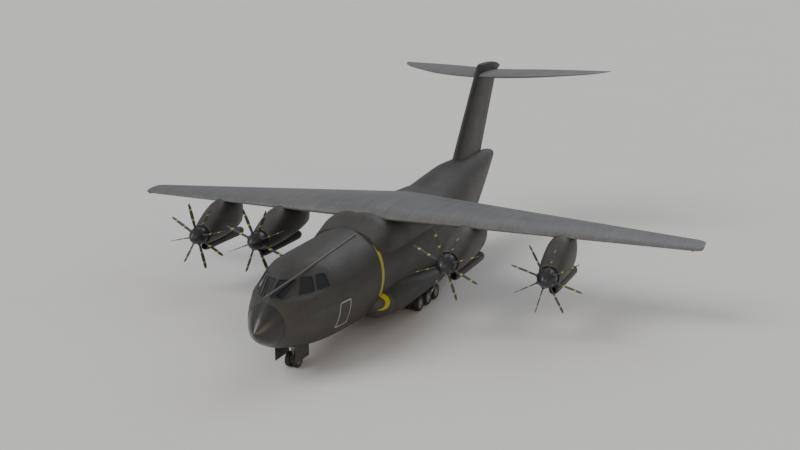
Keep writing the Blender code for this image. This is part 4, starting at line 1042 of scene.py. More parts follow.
@dataclass
class Panel:
    """Lifting surface read along its span, flat or upright.

    Upper is the share of its thickness above its middle, and blunt is half its rear edge.
    """

    upper: float
    upright: bool = False
    hinge_share: float = 0.73
    chord_points: int = 34
    blunt: float = 0.006

    def edges(self, span: float) -> tuple[float, float]:
        """Leading and trailing edge."""
        raise NotImplementedError

    def middle(self, span: float, part: float) -> float:
        """Level of the section between its edges."""
        return 0.0

    def thickness(self, span: float) -> float:
        """Greatest thickness."""
        raise NotImplementedError

    def hinge(self, span: float) -> float:
        """Station of the hinge line."""
        front, rear = self.edges(span)
        return front + (rear - front) * self.hinge_share

    def levels(self, span: float, station: float) -> tuple[float, float]:
        """Upper and lower skin at a place."""
        front, rear = self.edges(span)
        part = min(1.0, max(0.0, (station - front) / (rear - front)))
        half = float(aerofoil(np.float64(part))) * self.thickness(span)
        level = self.middle(span, part)
        return level + 2 * half * self.upper, level - 2 * half * (1 - self.upper)

    def section(self, span: float, side: int = 1, squeeze: float = 1.0) -> Rings:
        """Ring of real places round the section, drawn in about its middle by a squeeze."""
        front, rear = self.edges(span)
        over, under = [], []
        for i in range(self.chord_points + 1):
            part = (1 - cos(pi * i / self.chord_points)) / 2
            station = front + (rear - front) * part
            high, low = self.levels(span, station)
            if i == 0:
                over.append((station, (high + low) / 2))
            elif i == self.chord_points:
                over.append((station, high + self.blunt))
                under.append((station, low - self.blunt))
            else:
                over.append((station, high))
                under.append((station, low))
        ring = np.asarray(over + under[::-1])
        centre = np.asarray(((front + rear) / 2, self.middle(span, 0.5)))
        ring = centre + (ring - centre) * squeeze
        if self.upright:
            return np.column_stack((ring[:, 1], ring[:, 0], np.full(len(ring), span)))
        return np.column_stack((np.full(len(ring), side * span), ring))

    def place(self, span: float, side: int) -> tuple[Vector, float]:
        """Real place of the hinge, and the half thickness there."""
        station = self.hinge(span)
        high, low = self.levels(span, station)
        middle = (high + low) / 2
        point = (middle, station, span) if self.upright else (side * span, station, middle)
        return Vector(point), (high - low) / 2


@dataclass
class WingPanel(Panel):
    """Wing: straight edges, thick root, level falling towards the tip.

    A line is its value at the middle of the aircraft and its change for each metre across.
    """

    front: tuple = (13.15, 0.297)
    rear: tuple = (21.865, -0.031)
    front_level: tuple = (7.264, -0.079)
    rear_level: tuple = (7.079, -0.058)
    root_thickness: float = 1.02
    thinning: float = 0.80
    tip: float = 21.2

    def edges(self, span: float) -> tuple[float, float]:
        """Leading and trailing edge."""
        return tuple(value + change * abs(span) for value, change in (self.front, self.rear))

    def middle(self, span: float, part: float) -> float:
        """Level of the section between its edges."""
        front, rear = (value + change * abs(span) for value, change in (self.front_level, self.rear_level))
        return front + (rear - front) * part

    def thickness(self, span: float) -> float:
        """Greatest thickness."""
        return self.root_thickness - self.thinning * abs(span) / self.tip


@dataclass
class TailPanel(Panel):
    """Tailplane: curved planform that ends in a thin swept tip.

    A row is distance across, leading edge, trailing edge and thickness.
    """

    rows: tuple = ((0.00, 36.10, 41.80, 0.52), (1.00, 36.15, 42.10, 0.50), (3.75, 37.10, 43.00, 0.42),
                   (6.30, 39.20, 43.55, 0.30), (8.50, 41.70, 43.85, 0.16), (9.20, 43.20, 43.95, 0.07),
                   (9.35, 43.80, 44.00, 0.03))
    hinge_ends: tuple = ((0.70, 40.424), (6.60, 42.498))
    level: float = 13.76

    def __post_init__(self) -> None:
        """Make the table that the sections are read from."""
        self.table = Table(self.rows)

    def edges(self, span: float) -> tuple[float, float]:
        """Leading and trailing edge."""
        return tuple(self.table.read(abs(span))[:2])

    def middle(self, span: float, part: float) -> float:
        """Level of the section between its edges."""
        return self.level

    def thickness(self, span: float) -> float:
        """Greatest thickness."""
        return float(self.table.read(abs(span))[2])

    def hinge(self, span: float) -> float:
        """Station of the hinge line, straight between its ends."""
        (inner, first), (outer, last) = self.hinge_ends
        return first + (last - first) * (span - inner) / (outer - inner)


@dataclass
class FinPanel(Panel):
    """Fin: swept, nearly of one chord.

    Edges and thickness are a value at its foot and the change from there over its rise.
    """

    foot: float = 7.75
    rise: float = 6.93
    front: tuple = (31.10, 5.35)
    rear: tuple = (37.70, 4.00)
    thick: tuple = (0.80, -0.20)

    def edges(self, span: float) -> tuple[float, float]:
        """Leading and trailing edge."""
        part = (span - self.foot) / self.rise
        return tuple(value + change * part for value, change in (self.front, self.rear))

    def thickness(self, span: float) -> float:
        """Greatest thickness."""
        return self.thick[0] + self.thick[1] * (span - self.foot) / self.rise


def across_both(panel: Panel, spans: Rings) -> Rings:
    """Rings of a panel from its starboard end, through the middle, to its port end."""
    return np.stack([panel.section(s, -1) for s in spans[:0:-1]] + [panel.section(s, 1) for s in spans])


@dataclass
class Surface:
    """Flap, aileron, elevator or rudder on hinge pins, and the cove it needs in its host.

    Start and end are along the span, swings in degrees, run is the gap round it, proud is how far
    its skin stands out, and the pin goes out past each end and back into the leaf.
    """

    name: str
    panel: Panel
    start: float
    end: float
    swing_up: float
    swing_down: float
    side: int = 1
    run: float = 0.012
    count: int = 2
    proud: float = 0.004
    pin_out: float = 0.065
    pin_in: float = 0.10
    pin_share: float = 0.4
    tall: float = 0.9
    shares: tuple = (0.12, 0.25, 0.40, 0.55, 0.70, 0.85, 1.0)

    def frames(self) -> tuple[list, Vector]:
        """Frames along the hinge: point, aft and up ways, half thickness."""
        first, _ = self.panel.place(self.start, self.side)
        last, _ = self.panel.place(self.end, self.side)
        along = (last - first).normalized()
        aft = (Vector((0, 1, 0)) - along * along.y).normalized()
        up = along.cross(aft) if self.panel.upright else aft.cross(along)
        if not self.panel.upright and up.z < 0:
            up = -up
        made = []
        for i in range(self.count):
            part = i / (self.count - 1)
            half = self.panel.place(self.start + (self.end - self.start) * part, self.side)[1]
            made.append((first.lerp(last, part), aft, up, half))
        return made, along

    def chord(self, point: Vector, aft: Vector) -> tuple[list, list]:
        """Points of the upper and lower skin behind the hinge, in the plane square to it."""
        over, under = [], []
        for share in self.shares:
            reach = 0.0
            for _ in range(5):
                here = point + aft * reach
                span = here.z if self.panel.upright else self.side * here.x
                hinge, rear = self.panel.hinge(span), self.panel.edges(span)[1]
                reach += (hinge + (rear - hinge) * share - here.y) / aft.y
            here = point + aft * reach
            span = here.z if self.panel.upright else self.side * here.x
            high, low = self.panel.levels(span, here.y)
            level = here.x if self.panel.upright else here.z
            over.append((reach, high - level + self.proud))
            under.append((reach, low - level - self.proud))
        return over, under

    def build(self, host: Shape, finish: Finish) -> None:
        """Make the leaf with its pins, and cut its cove in the host."""
        frames, along = self.frames()
        leaf, cove = [], []
        for i, (point, aft, up, half) in enumerate(frames):
            inset = self.run * (1 if i == 0 else -1 if i == self.count - 1 else 0)
            centre = point + along * inset
            nose = [(half * cos(a), half * sin(a)) for a in np.radians(np.linspace(90, 270, 13))]
            over, under = self.chord(point, aft)
            leaf.append([centre + aft * a + up * b for a, b in nose + under + over[::-1]])
            reach = half + self.run
            lip_over, lip_under = (half * tan(radians(swing) / 2) + self.run
                                   for swing in (self.swing_up, self.swing_down))
            high, low = (atan2(sqrt(max(0.0, reach ** 2 - lip ** 2)), -lip) for lip in (lip_over, lip_under))
            low = 2 * pi - low
            far = over[-1][0] + 0.6
            arc = [(reach * cos(a), reach * sin(a)) for a in np.linspace(high, low, 13)]
            shape = [(far, self.tall), (-lip_over, self.tall)] + arc
            shape += [(-lip_under, -self.tall), (far, -self.tall)]
            cove.append([point + aft * a + up * b for a, b in shape])
        surface = skin(self.name + "_leaf", np.asarray(leaf))
        trim(host, prism(np.asarray(cove[0]), np.asarray(cove[-1])))
        dress(surface, finish, self.name, "composite_paint", self.name)
        first, last = frames[0][0], frames[-1][0]
        radius = self.pin_share * min(f[3] for f in frames)
        pins = []
        for end, way in ((first, -1), (last, 1)):
            a, b = end + along * way * self.pin_out, end - along * way * self.pin_in
            pins.append(rod("pin", spot(*a), spot(*b), radius))
        dress(join(self.name + "_pins", pins), CHROME, self.name, "gear_steel")


@dataclass
class Wing:
    """Both outer wings with their moving surfaces, the fairing, and the small fittings.

    A surface is its name, its ends along the span and its swings up and down. A row of the
    fairing is station, half width and top. A track fairing starts ahead of its hinge.
    """

    hull: Hull
    panel: Panel
    root: float = 2.85
    straight: float = 20.55
    tip: float = 21.2
    surfaces: tuple = (("flap_inner", 3.05, 8.60, 0.0, 35.0), ("flap_outer", 8.80, 14.55, 0.0, 35.0),
                       ("aileron", 14.75, 20.20, 25.0, 25.0))
    fairing: tuple = ((11.40, 2.40, 6.80), (12.30, 2.52, 7.14), (13.20, 2.60, 7.46), (15.00, 2.62, 7.56),
                      (18.00, 2.62, 7.36), (21.00, 2.60, 7.08), (23.00, 2.50, 6.98), (25.00, 2.38, 6.90))
    waist: float = 5.0
    lamp_span: float = 20.62
    lamp_form: tuple = ((-0.20, 0.0), (-0.14, 0.06), (0.0, 0.085), (0.2, 0.07), (0.3, 0.0))
    track_spans: tuple = (4.6, 9.9, 13.2)
    track_start: float = 1.7
    track_length: float = 1.55

    def build(self) -> None:
        """Make everything on the wing."""
        spans = steps(0.0, self.root, 0.6)
        centre = skin("wing_centre_shell", across_both(self.panel, spans))
        dress(centre, LIT_WING_PAINT, "root", "hull_paint", "wing_centre")
        for side in Side:
            self.build_side(side)
        self.build_fairing()

    def build_side(self, side: Side) -> None:
        """One outer wing with its rounded tip."""
        rings = [self.panel.section(s, side.value) for s in steps(self.root + REST, self.straight, 0.6)]
        for angle in np.radians((15, 30, 45, 60, 72, 82, 90)):
            span = self.straight + (self.tip - self.straight) * sin(angle)
            rings.append(self.panel.section(span, side.value, squeeze=0.6 + 0.4 * cos(angle) ** 0.8))
        wing = skin(f"wing_shell_{side.label}", np.stack(rings))
        for name, start, end, up, down in self.surfaces:
            leaf = Surface(f"{name}_{side.label}", self.panel, start, end, up, down, side.value)
            leaf.build(wing, LIT_WING_PAINT)
        dress(wing, LIT_WING_PAINT, "root", "hull_paint", f"wing_{side.label}")
        self.build_fittings(side)

    def build_fittings(self, side: Side) -> None:
        """Tip lamp and the canoe fairings of the flap tracks."""
        label = side.label
        lamp = LAMP_RED if side is Side.PORT else LAMP_GREEN
        front = self.panel.edges(20.6)[0]
        place = spot(side.value * self.lamp_span, front + 0.10, self.panel.middle(self.lamp_span, 0) + 0.01)
        glass = turned(f"tip_lamp_{label}", self.lamp_form, place, (0, 1, 0), 20)
        dress(glass, lamp, "root", "cockpit_glass")
        canoes = []
        for span in self.track_spans:
            hinge = self.panel.hinge(span)
            low = self.panel.levels(span, hinge - 0.6)[1]
            rows = []
            for part in steps(0.0, 1.0, 0.06):
                swell = max(0.06, sin(pi * min(1.0, part * 0.62 + 0.02)) ** 0.7)
                ring = oval(16, 0.12 * swell, 0.34 * swell, 0.20, 2.0, 2.0)
                at = hinge - self.track_start + self.track_length * part
                rows.append(upright(ring, side.value * span, at, low + 0.05))
            canoes.append(skin("canoe", np.stack(rows)))
        dress(join(f"flap_track_fairings_{label}", canoes), LIT_WING_PAINT, "root", "composite_paint")

    def build_fairing(self) -> None:
        """Fairing that sets the wing on the crown of the hull."""
        table = Table(self.fairing)
        rows = []
        for station in steps(self.fairing[0][0], self.fairing[-1][0], 0.2):
            width, top = table.read(station)
            ring = oval(72, width, 0.4, top - self.waist, 2.0, 2.6)
            rows.append(upright(ring, 0.0, station, self.waist))
        fairing = skin("wing_saddle", np.stack(rows))
        trim(fairing, self.hull.solid("cut", self.fairing[0][0] - 1, self.fairing[-1][0] + 1, -REST))
        dress(fairing, HULL_PAINT, "root", "hull_paint", "wing_fairing")


@dataclass
class Powerplant:
    """One engine: nacelle, chin tube, spinner and blades, counted aft from the propeller's plane.

    A row is distance aft, half width, bottom and top about the shaft. A blade's row is radius,
    chord, thickness and pitch in degrees. Rise is the share of the top's rise that is kept. The
    chin's tables are distance from its front, or ahead of its end, and radius.
    """

    name: str
    across: float
    station: float
    height: float
    turn: float
    chin_rear: float
    rear: float
    rise: float
    straight: float = 2.90
    spinner: float = 0.62
    chin_drop: float = 1.03
    chin_offset: float = 0.165
    chin_front: float = 1.05
    chin_mouth: tuple = ((0.95, 0.0), (0.95, 0.17), (0.20, 0.195), (0.03, 0.215), (0.0, 0.235), (0.02, 0.26),
                         (0.09, 0.285), (0.22, 0.315), (0.42, 0.33))
    chin_tail: tuple = ((0.55, 0.33), (0.28, 0.31), (0.10, 0.25), (0.02, 0.18), (0.0, 0.15), (0.02, 0.13),
                        (0.25, 0.12), (0.25, 0.0))
    chin_duct: tuple = ((0.94, 0.0), (0.94, 0.16), (0.16, 0.193), (0.16, 0.165), (0.80, 0.05), (0.70, 0.0))
    radius: float = 2.37
    top: float = 0.70
    lip: tuple = ((0.74, 0.58), (0.64, 0.60), (0.605, 0.635), (0.60, 0.665), (0.615, 0.69))
    cone: tuple = ((-0.78, 0.0), (-0.765, 0.085), (-0.70, 0.27), (-0.48, 0.62), (-0.15, 0.91),
                   (0.15, 1.0), (0.42, 1.0), (0.50, 0.985))
    cone_steps: tuple = (-0.78, -0.775, -0.765, -0.74, -0.70, -0.64, -0.56, -0.48, -0.38, -0.26, -0.15,
                         0.0, 0.15, 0.3, 0.46)
    rows: tuple = ((0.60, 0.70, -0.70, 0.70), (1.20, 0.80, -0.76, 1.12), (2.00, 0.86, -0.78, 1.62),
                   (2.90, 0.88, -0.76, 1.96), (4.40, 0.84, -0.68, 2.02), (6.00, 0.66, -0.52, 1.98),
                   (7.20, 0.36, -0.36, 1.94), (7.75, 0.10, -0.26, 1.92))
    blade: tuple = ((0.42, 0.20, 0.120, 96.0), (0.60, 0.22, 0.105, 95.0), (0.95, 0.31, 0.072, 93.0),
                    (1.60, 0.38, 0.048, 90.0), (2.05, 0.35, 0.036, 88.0), (2.20, 0.31, 0.032, 87.0),
                    (2.32, 0.22, 0.024, 86.0), (2.37, 0.12, 0.018, 86.0))

    def build(self) -> None:
        """Make the whole engine."""
        self.build_nacelle()
        self.build_chin()
        self.build_propeller()

    def ring(self, aft: float, width: float, bottom: float, top: float) -> Rings:
        """Ring of real places round the shaft line."""
        flat = oval(64, width, (top - bottom) / 2, (top - bottom) / 2, 2.2, 2.2)
        return upright(flat, self.across, self.station + aft, self.height + (bottom + top) / 2)

    def build_nacelle(self) -> None:
        """Cowling with a rolled lip round the spinner's gap."""
        table = Table(self.rows)
        squeeze = (self.rear - self.straight) / (self.rows[-1][0] - self.straight)
        rings = [self.ring(aft, out, -out, out) for aft, out in self.lip]
        for aft in steps(0.66, self.rows[-1][0], 0.14):
            width, bottom, top = table.read(aft)
            if aft > self.straight:
                aft = self.straight + (aft - self.straight) * squeeze
            rings.append(self.ring(aft, width, bottom, self.top + (top - self.top) * self.rise))
        cowl = skin(f"cowl_{self.name}", np.stack(rings))
        dress(cowl, HULL_PAINT, "root", "hull_paint", f"nacelle_{self.name}")

    def build_chin(self) -> None:
        """Tube below the nacelle with its round intake, and a dark duct in it."""
        side = 1 if self.across > 0 else -1
        base = spot(self.across + side * self.chin_offset, self.station, self.height - self.chin_drop)
        front, end = self.chin_front, self.chin_rear
        form = [(front + aft, out) for aft, out in self.chin_mouth]
        form += [(end - ahead, out) for ahead, out in self.chin_tail]
        chin = turned(f"chin_tube_{self.name}", tuple(form), base, (0, 1, 0), 40)
        dress(chin, HULL_PAINT, "root", "hull_paint")
        form = tuple((front + aft, out) for aft, out in self.chin_duct)
        duct = turned(f"chin_duct_{self.name}", form, base, (0, 1, 0), 32)
        dress(duct, HOT_STEEL, "root", "gear_steel")

    def build_propeller(self) -> None:
        """Spinner with its blade collars, and eight twisted blades."""
        hub = spot(self.across, self.station, self.height)
        tip = self.spinner
        outline = Table(tuple((aft, out * tip) for aft, out in self.cone))
        profile = [(aft, float(outline.read(aft)[0])) for aft in self.cone_steps]
        profile += [(0.50, 0.975 * tip), (0.50, 0.12), (1.14, 0.12), (1.14, 0.0)]
        body = f"propeller_{self.name}"
        nose = turned(f"spinner_{self.name}", tuple(profile), hub, (0, 1, 0), 56)
        dress(nose, SPINNER, body, "blade_composite", body)
        collars, blades = [], []
        for k in range(8):
            angle = radians(self.turn + 45 * k)
            out = Vector((-sin(angle), 0, cos(angle)))
            collars.append(rod("collar", hub + out * 0.50 * SCALE, hub + out * 0.655 * SCALE, 0.135, 24, 0.12))
            blades.append(self.build_blade(out, Vector((cos(angle), 0, sin(angle)))))
        dress(join(f"blade_collars_{self.name}", collars), SPINNER, body, "blade_composite")
        whole = join(f"blades_{self.name}", blades)
        away = vertex_places(whole) - np.asarray(hub)
        reach = np.hypot(away[:, 0], away[:, 2]) / (self.radius * SCALE)
        whole.data.attributes.new("reach", "FLOAT", "POINT").data.foreach_set("value", reach.astype(np.float32))
        dress(whole, BLADE, body, "blade_composite", angle=60)

    def build_blade(self, out: Vector, side: Vector) -> Shape:
        """One feathered blade: an aerofoil loft that twists a little and narrows to a rounded tip."""
        table = Table(self.blade)
        chordwise = (1 - np.cos(np.linspace(0, pi, 11))) / 2
        half = aerofoil(chordwise)
        half[-1] = 0.0
        section = [(0.45 - c, h) for c, h in zip(chordwise, half)]
        section += [(0.45 - c, -h) for c, h in zip(chordwise[-2:0:-1], half[-2:0:-1])]
        rings = []
        centre = np.asarray((self.across, self.station, self.height))
        for radius in list(steps(0.45, 2.20, 0.11)) + [2.26, 2.31, 2.345, 2.36, 2.37]:
            chord, thick, pitch = table.read(radius)
            lean = radians(pitch)
            flat = side * cos(lean) - Vector((0, 1, 0)) * sin(lean)
            deep = out.cross(flat)
            rings.append([centre + np.asarray(out * radius + flat * chord * a + deep * thick * b * 1.1)
                          for a, b in section])
        return skin("blade", np.asarray(rings))


@dataclass
class Tail:
    """Fin, cap, tailplane and their moving surfaces.

    The cap's rear falls by a share of its height, and hangs over the fin by up to the overhang.
    """

    hull: Hull
    fin: Panel
    plane: Panel
    foot: float = 7.0
    joint: float = 13.76
    top: float = 14.68
    fall: float = 0.60
    overhang: float = 0.50
    shoulder: float = 14.32
    swing: float = 25.0

    def cap_ring(self, height: float, length: float, width: float) -> Rings:
        """Ring of the cap, drawn in along and across, that sinks towards its rear."""
        ring = self.fin.section(height)
        front, rear = self.fin.edges(height)
        share = np.clip((ring[:, 1] - front) / (rear - front), 0, 1)
        ring[:, 0] *= width
        middle = (front + rear) / 2
        ring[:, 1] = middle + (ring[:, 1] - middle) * length
        ring[:, 1] += self.overhang * share * min(1.0, (height - self.joint) / 0.5)
        ring[:, 2] -= (height - self.joint) * self.fall * share ** 4
        return ring

    def build(self) -> None:
        """Make the tail."""
        heights = steps(self.foot, self.joint - REST, 0.35)
        fin = skin("fin_shell", np.stack([self.fin.section(h) for h in heights]))
        trim(fin, self.hull.solid("cut", 29.0, 39.2, -REST))
        Surface("rudder", self.fin, 8.42, 13.10, self.swing, self.swing, run=0.02).build(fin, SHADED_FIN_PAINT)
        dress(fin, SHADED_FIN_PAINT, "root", "composite_paint", "fin")
        rings = [self.cap_ring(h, 1.0, 1.0) for h in (self.joint, 13.9, 14.1, 14.3)]
        for angle in np.radians(np.linspace(10, 90, 12)):
            height = self.shoulder + (self.top - self.shoulder) * sin(angle)
            length, width = 0.90 + 0.10 * cos(angle) ** 0.5, 0.30 + 0.70 * cos(angle) ** 0.6
            rings.append(self.cap_ring(height, length, width))
        cap = skin("fin_cap_shell", np.stack(rings))
        dress(cap, SHADED_FIN_PAINT, "root", "composite_paint", "fin_cap")
        spans = np.concatenate((steps(0.0, 8.5, 0.4), (8.7, 8.9, 9.05, 9.15, 9.22, 9.28, 9.32, 9.35)))
        plane = skin("tailplane_shell", across_both(self.plane, spans))
        for side in Side:
            Surface(f"elevator_{side.label}", self.plane, 0.70, 6.60, self.swing, self.swing, side.value,
                    0.02, 8).build(plane, LIT_WING_PAINT)
        dress(plane, LIT_WING_PAINT, "root", "composite_paint", "tailplane")


@dataclass
class Wheels:
    """Twin wheels on one axle: tyres with grooves, wheel castings and the axle.

    Outlines are shares of the half width and of the radius.
    """

    name: str
    across: float
    station: float
    radius: float
    half_width: float
    offset: float
    wall: tuple = ((-0.72, 0.56), (-0.90, 0.62), (-1.0, 0.76), (-0.95, 0.88), (-0.80, 0.965))
    grooves: tuple = (-0.52, -0.18, 0.18, 0.52)
    groove: tuple = (0.10, 0.055, 0.045)
    bottom: float = 0.965
    dish: tuple = ((-0.72, 0.50), (-0.80, 0.585), (-0.66, 0.585), (-0.60, 0.54), (0.60, 0.54), (0.66, 0.585),
                   (0.80, 0.585), (0.72, 0.50), (0.45, 0.44), (0.40, 0.30), (0.62, 0.24), (0.70, 0.20),
                   (0.70, 0.0), (-0.62, 0.0), (-0.62, 0.24), (-0.45, 0.40))
    bolts: int = 8

    def build(self) -> None:
        """Make the tyres, the castings and the axle."""
        centre = spot(self.across, self.station, self.radius)
        r, w = self.radius, self.half_width
        outer, edge, inner = self.groove
        outline = list(self.wall)
        for middle in self.grooves:
            crown = 0.995 - abs(middle) * 0.02
            outline += [(middle - outer, crown), (middle - edge, crown), (middle - inner, self.bottom),
                        (middle + inner, self.bottom), (middle + edge, crown), (middle + outer, crown)]
        outline += [(-a, b) for a, b in self.wall[::-1]]
        tyres, discs = [], []
        for side in (-1, 1):
            shape = tuple((side * self.offset + w * a, r * b) for a, b in outline)
            tyres.append(turned("tyre", shape, centre, (1, 0, 0), 56))
            shape = tuple((side * (self.offset + w * a), r * b) for a, b in self.dish)
            discs.append(turned("disc", shape, centre, (1, 0, 0), 48))
            for k in range(self.bolts):
                angle = 2 * pi * k / self.bolts
                out = Vector((0, cos(angle), sin(angle))) * r * 0.37 * SCALE
                a, b = (centre + out + Vector((side * (self.offset + w * share), 0, 0)) * SCALE
                        for share in (0.30, 0.55))
                discs.append(rod("bolt", a, b, r * 0.045, 6))
        dress(join(f"{self.name}_tyres", tyres), TYRE, self.name, "tyre_rubber", self.name)
        dress(join(f"{self.name}_castings", discs), WHEEL, self.name, "gear_steel")
        reach = Vector((self.offset - w * 0.55, 0, 0)) * SCALE
        dress(rod(f"{self.name}_axle", centre - reach, centre + reach, 0.06), CHROME, self.name, "gear_steel")


@dataclass
class Sponson:
    """Gear sponson of one side with its wheel well, the legs in it, and the wheels.

    A row is station, middle across, middle height, half width, depth below, rise above, and the
    power of the upper curve. The well's margins are beside and beyond the outer axles.
    """

    hull: Hull
    side: Side
    track: float = 2.60
    axles: tuple = (16.85, 18.30, 19.75)
    tyre: float = 0.545
    well_top: float = 1.80
    well_side: float = 0.56
    well_end: float = 0.63
    rows: tuple = (
        (10.30, 1.95, 2.00, 0.12, 0.12, 0.12, 2.2), (10.42, 1.96, 2.02, 0.48, 0.40, 0.44, 2.2),
        (10.62, 1.97, 2.05, 0.78, 0.62, 0.68, 2.3), (10.92, 1.99, 2.08, 1.02, 0.80, 0.86, 2.4),
        (11.25, 2.01, 2.10, 1.18, 0.89, 0.95, 2.5), (11.52, 2.02, 2.10, 1.23, 0.93, 1.00, 2.4),
        (11.80, 2.03, 2.10, 1.22, 0.98, 1.14, 1.7), (12.60, 2.06, 2.10, 1.32, 1.10, 1.40, 1.5),
        (14.50, 2.08, 2.05, 1.40, 1.15, 1.15, 1.8), (17.00, 2.08, 2.00, 1.40, 1.10, 0.70, 2.2),
        (19.75, 2.08, 1.95, 1.38, 1.05, 0.38, 2.2), (21.50, 2.05, 1.90, 1.25, 0.95, 0.30, 2.2),
        (23.50, 1.98, 1.85, 0.75, 0.60, 0.25, 2.2), (25.00, 1.90, 1.80, 0.12, 0.12, 0.12, 2.2))

    def build(self) -> None:
        """Make the sponson, its well, legs and wheels."""
        table = Table(self.rows)
        rings = []
        for station in np.concatenate((steps(10.30, 12.7, 0.05), steps(12.85, 25.0, 0.2))):
            across, middle, width, below, above, upper = table.read(station)
            flat = oval(72, width, below, above, 2.4, upper)
            flat[:, 0] *= self.side.value
            rings.append(upright(flat, self.side.value * across, station, middle))
        pod = skin(f"sponson_shell_{self.side.label}", np.stack(rings))
        trim(pod, self.hull.solid("cut", 9.7, 25.8, -REST))
        across = self.side.value * self.track
        trim(pod, block("cut", (across - self.well_side, self.axles[0] - self.well_end, 0.2),
                        (across + self.well_side, self.axles[-1] + self.well_end, self.well_top), 0))
        dress(pod, POD_PAINT, "root", "hull_paint", f"sponson_{self.side.label}")
        self.build_legs(across)
        for number, station in enumerate(self.axles, 1):
            Wheels(f"main_wheels_{self.side.label}_{number}", across, station, self.tyre, 0.19, 0.305).build()

    def build_legs(self, across: float) -> None:
        """Three legs under one beam: strut, axle housing, drag brace and torque links."""
        top = self.well_top - REST
        parts = [block("beam", (across - 0.12, self.axles[0] - 0.40, top - 0.20),
                       (across + 0.12, self.axles[-1] + 0.40, top), 0.02)]
        shine = []
        foot = self.tyre
        # name, across, aft and height of the start, the same of the end, and radius
        bars = (("cylinder", 0, 0, top - 0.15, 0, 0, foot + 0.42, 0.105),
                ("collar", 0, 0, foot + 0.50, 0, 0, foot + 0.40, 0.125),
                ("housing", -0.10, 0, foot, 0.10, 0, foot, 0.105),
                ("brace", 0, -0.34, top - 0.16, 0, -0.05, foot + 0.46, 0.04),
                ("brace", 0, 0.34, top - 0.16, 0, 0.05, foot + 0.46, 0.04),
                ("link", 0, 0.08, foot + 0.05, 0, 0.24, foot + 0.26, 0.03),
                ("link", 0, 0.08, foot + 0.46, 0, 0.24, foot + 0.26, 0.03))
        for station in self.axles:
            for name, x0, s0, z0, x1, s1, z1, radius in bars:
                ends = spot(across + x0, station + s0, z0), spot(across + x1, station + s1, z1)
                parts.append(rod(name, *ends, radius))
            ends = spot(across, station, foot + 0.44), spot(across, station, foot + 0.05)
            shine.append(rod("piston", *ends, 0.07))
        label = self.side.label
        dress(join(f"main_leg_frame_{label}", parts), GEAR_PAINT, "root", "gear_steel", f"main_legs_{label}")
        dress(join(f"main_leg_pistons_{label}", shine), CHROME, "root", "gear_steel")


@dataclass
class NoseGear:
    """Nose leg, steered fork, wheels, doors and lamps."""

    hull: Hull
    axle: float = 4.45
    tyre: float = 0.47
    lamp: tuple = ((-0.05, 0.0), (-0.045, 0.06), (0.0, 0.075), (0.05, 0.06), (0.08, 0.0))

    def build(self) -> None:
        """Make the nose gear."""
        front, rear, half, top = self.hull.bay
        s, z = self.axle, self.tyre
        form = ((0.992, 0.0), (0.992, 0.13), (1.03, 0.145), (1.10, 0.145), (1.13, 0.125), (top - 0.22, 0.125),
                (top - 0.10, 0.22), (top - REST, 0.22), (top - REST, 0.0))
        leg = turned("nose_leg_cylinder", form, spot(0, s, 0), (0, 0, 1), 32)
        braces = [leg]
        for x in (-0.2, 0.2):
            ends = spot(x * 2.2, s + 0.55, top - 0.04), spot(x * 0.5, s + 0.05, 1.25)
            braces.append(rod("brace", *ends, 0.035))
        dress(join("nose_leg_frame", braces), GEAR_PAINT, "root", "gear_steel", "nose_leg")
        piston = rod("nose_piston", spot(0, s, 1.45), spot(0, s, z + 0.1), 0.072)
        dress(piston, CHROME, "nose_steering", "gear_steel")
        parts = [rod("housing", spot(-0.075, s, z), spot(0.075, s, z), 0.11),
                 rod("stub", spot(0, s, z), spot(0, s, z + 0.3), 0.085),
                 rod("steer_collar", spot(0, s, 0.90), spot(0, s, 0.98), 0.12)]
        for low, high in ((z + 0.22, 0.80), (0.94, 0.80)):
            parts.append(rod("link", spot(0, s + 0.09, low), spot(0, s + 0.22, high), 0.026))
        dress(join("nose_fork_frame", parts), GEAR_PAINT, "nose_steering", "gear_steel", "nose_fork")
        lamps = [turned("lamp", self.lamp, spot(x, s - 0.2, 1.28), (0, 1, 0), 20) for x in (-0.15, 0.15)]
        dress(join("taxi_lamps", lamps), LAMP_CLEAR, "root", "cockpit_glass")
        Wheels("nose_wheels", 0.0, s, z, 0.15, 0.245).build()
        for side in Side:
            leaf = block("nose_door_leaf_" + side.label, (side.value * (half + 0.08), front + 0.05, 0.62),
                         (side.value * (half + 0.12), rear - 0.05, 1.9), 0.012)
            trim(leaf, self.hull.solid("cut", 2.6, 6.0, -REST))
            dress(leaf, HULL_PAINT, "root", "hull_paint", "nose_gear_door_" + side.label)


@dataclass
class Inside:
    """What shows through the doors and the glass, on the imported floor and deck."""

    hull: Hull

    def build(self) -> None:
        """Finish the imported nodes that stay, and add the frames and rails of the hold."""
        stays = {"cargo_floor": FLOOR_METAL, "flight_deck": TRIM, "nose_gear_bay": PRIMER}
        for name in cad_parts:
            if name.startswith("engine_"):
                stays[name] = CAST
        for name, finish in stays.items():
            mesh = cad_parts[name].data
            mesh.materials.clear()
            mesh.materials.append(finish.material())
        rails = [block("rail", (x - 0.05, 5.9, 1.745), (x + 0.05, 26.8, 1.775), 0.008)
                 for x in (-1.35, -0.50, 0.50, 1.35)]
        dress(join("floor_rails", rails), CHROME, "root", "cabin_floor")
        hoops = []
        deep, flush, width = 0.25, 0.152, 0.07
        for station in np.arange(8.6, 26.4, 1.1):
            edges = ((0, flush), (0, deep), (width, deep), (width, flush), (0, flush))
            rows = np.stack([self.hull.ring(station + aft, inset)[::2] for aft, inset in edges])
            hoops.append(skin("hoop", rows, caps=False))
        dress(join("hold_frames", hoops), PRIMER, "root", "cabin_trim")


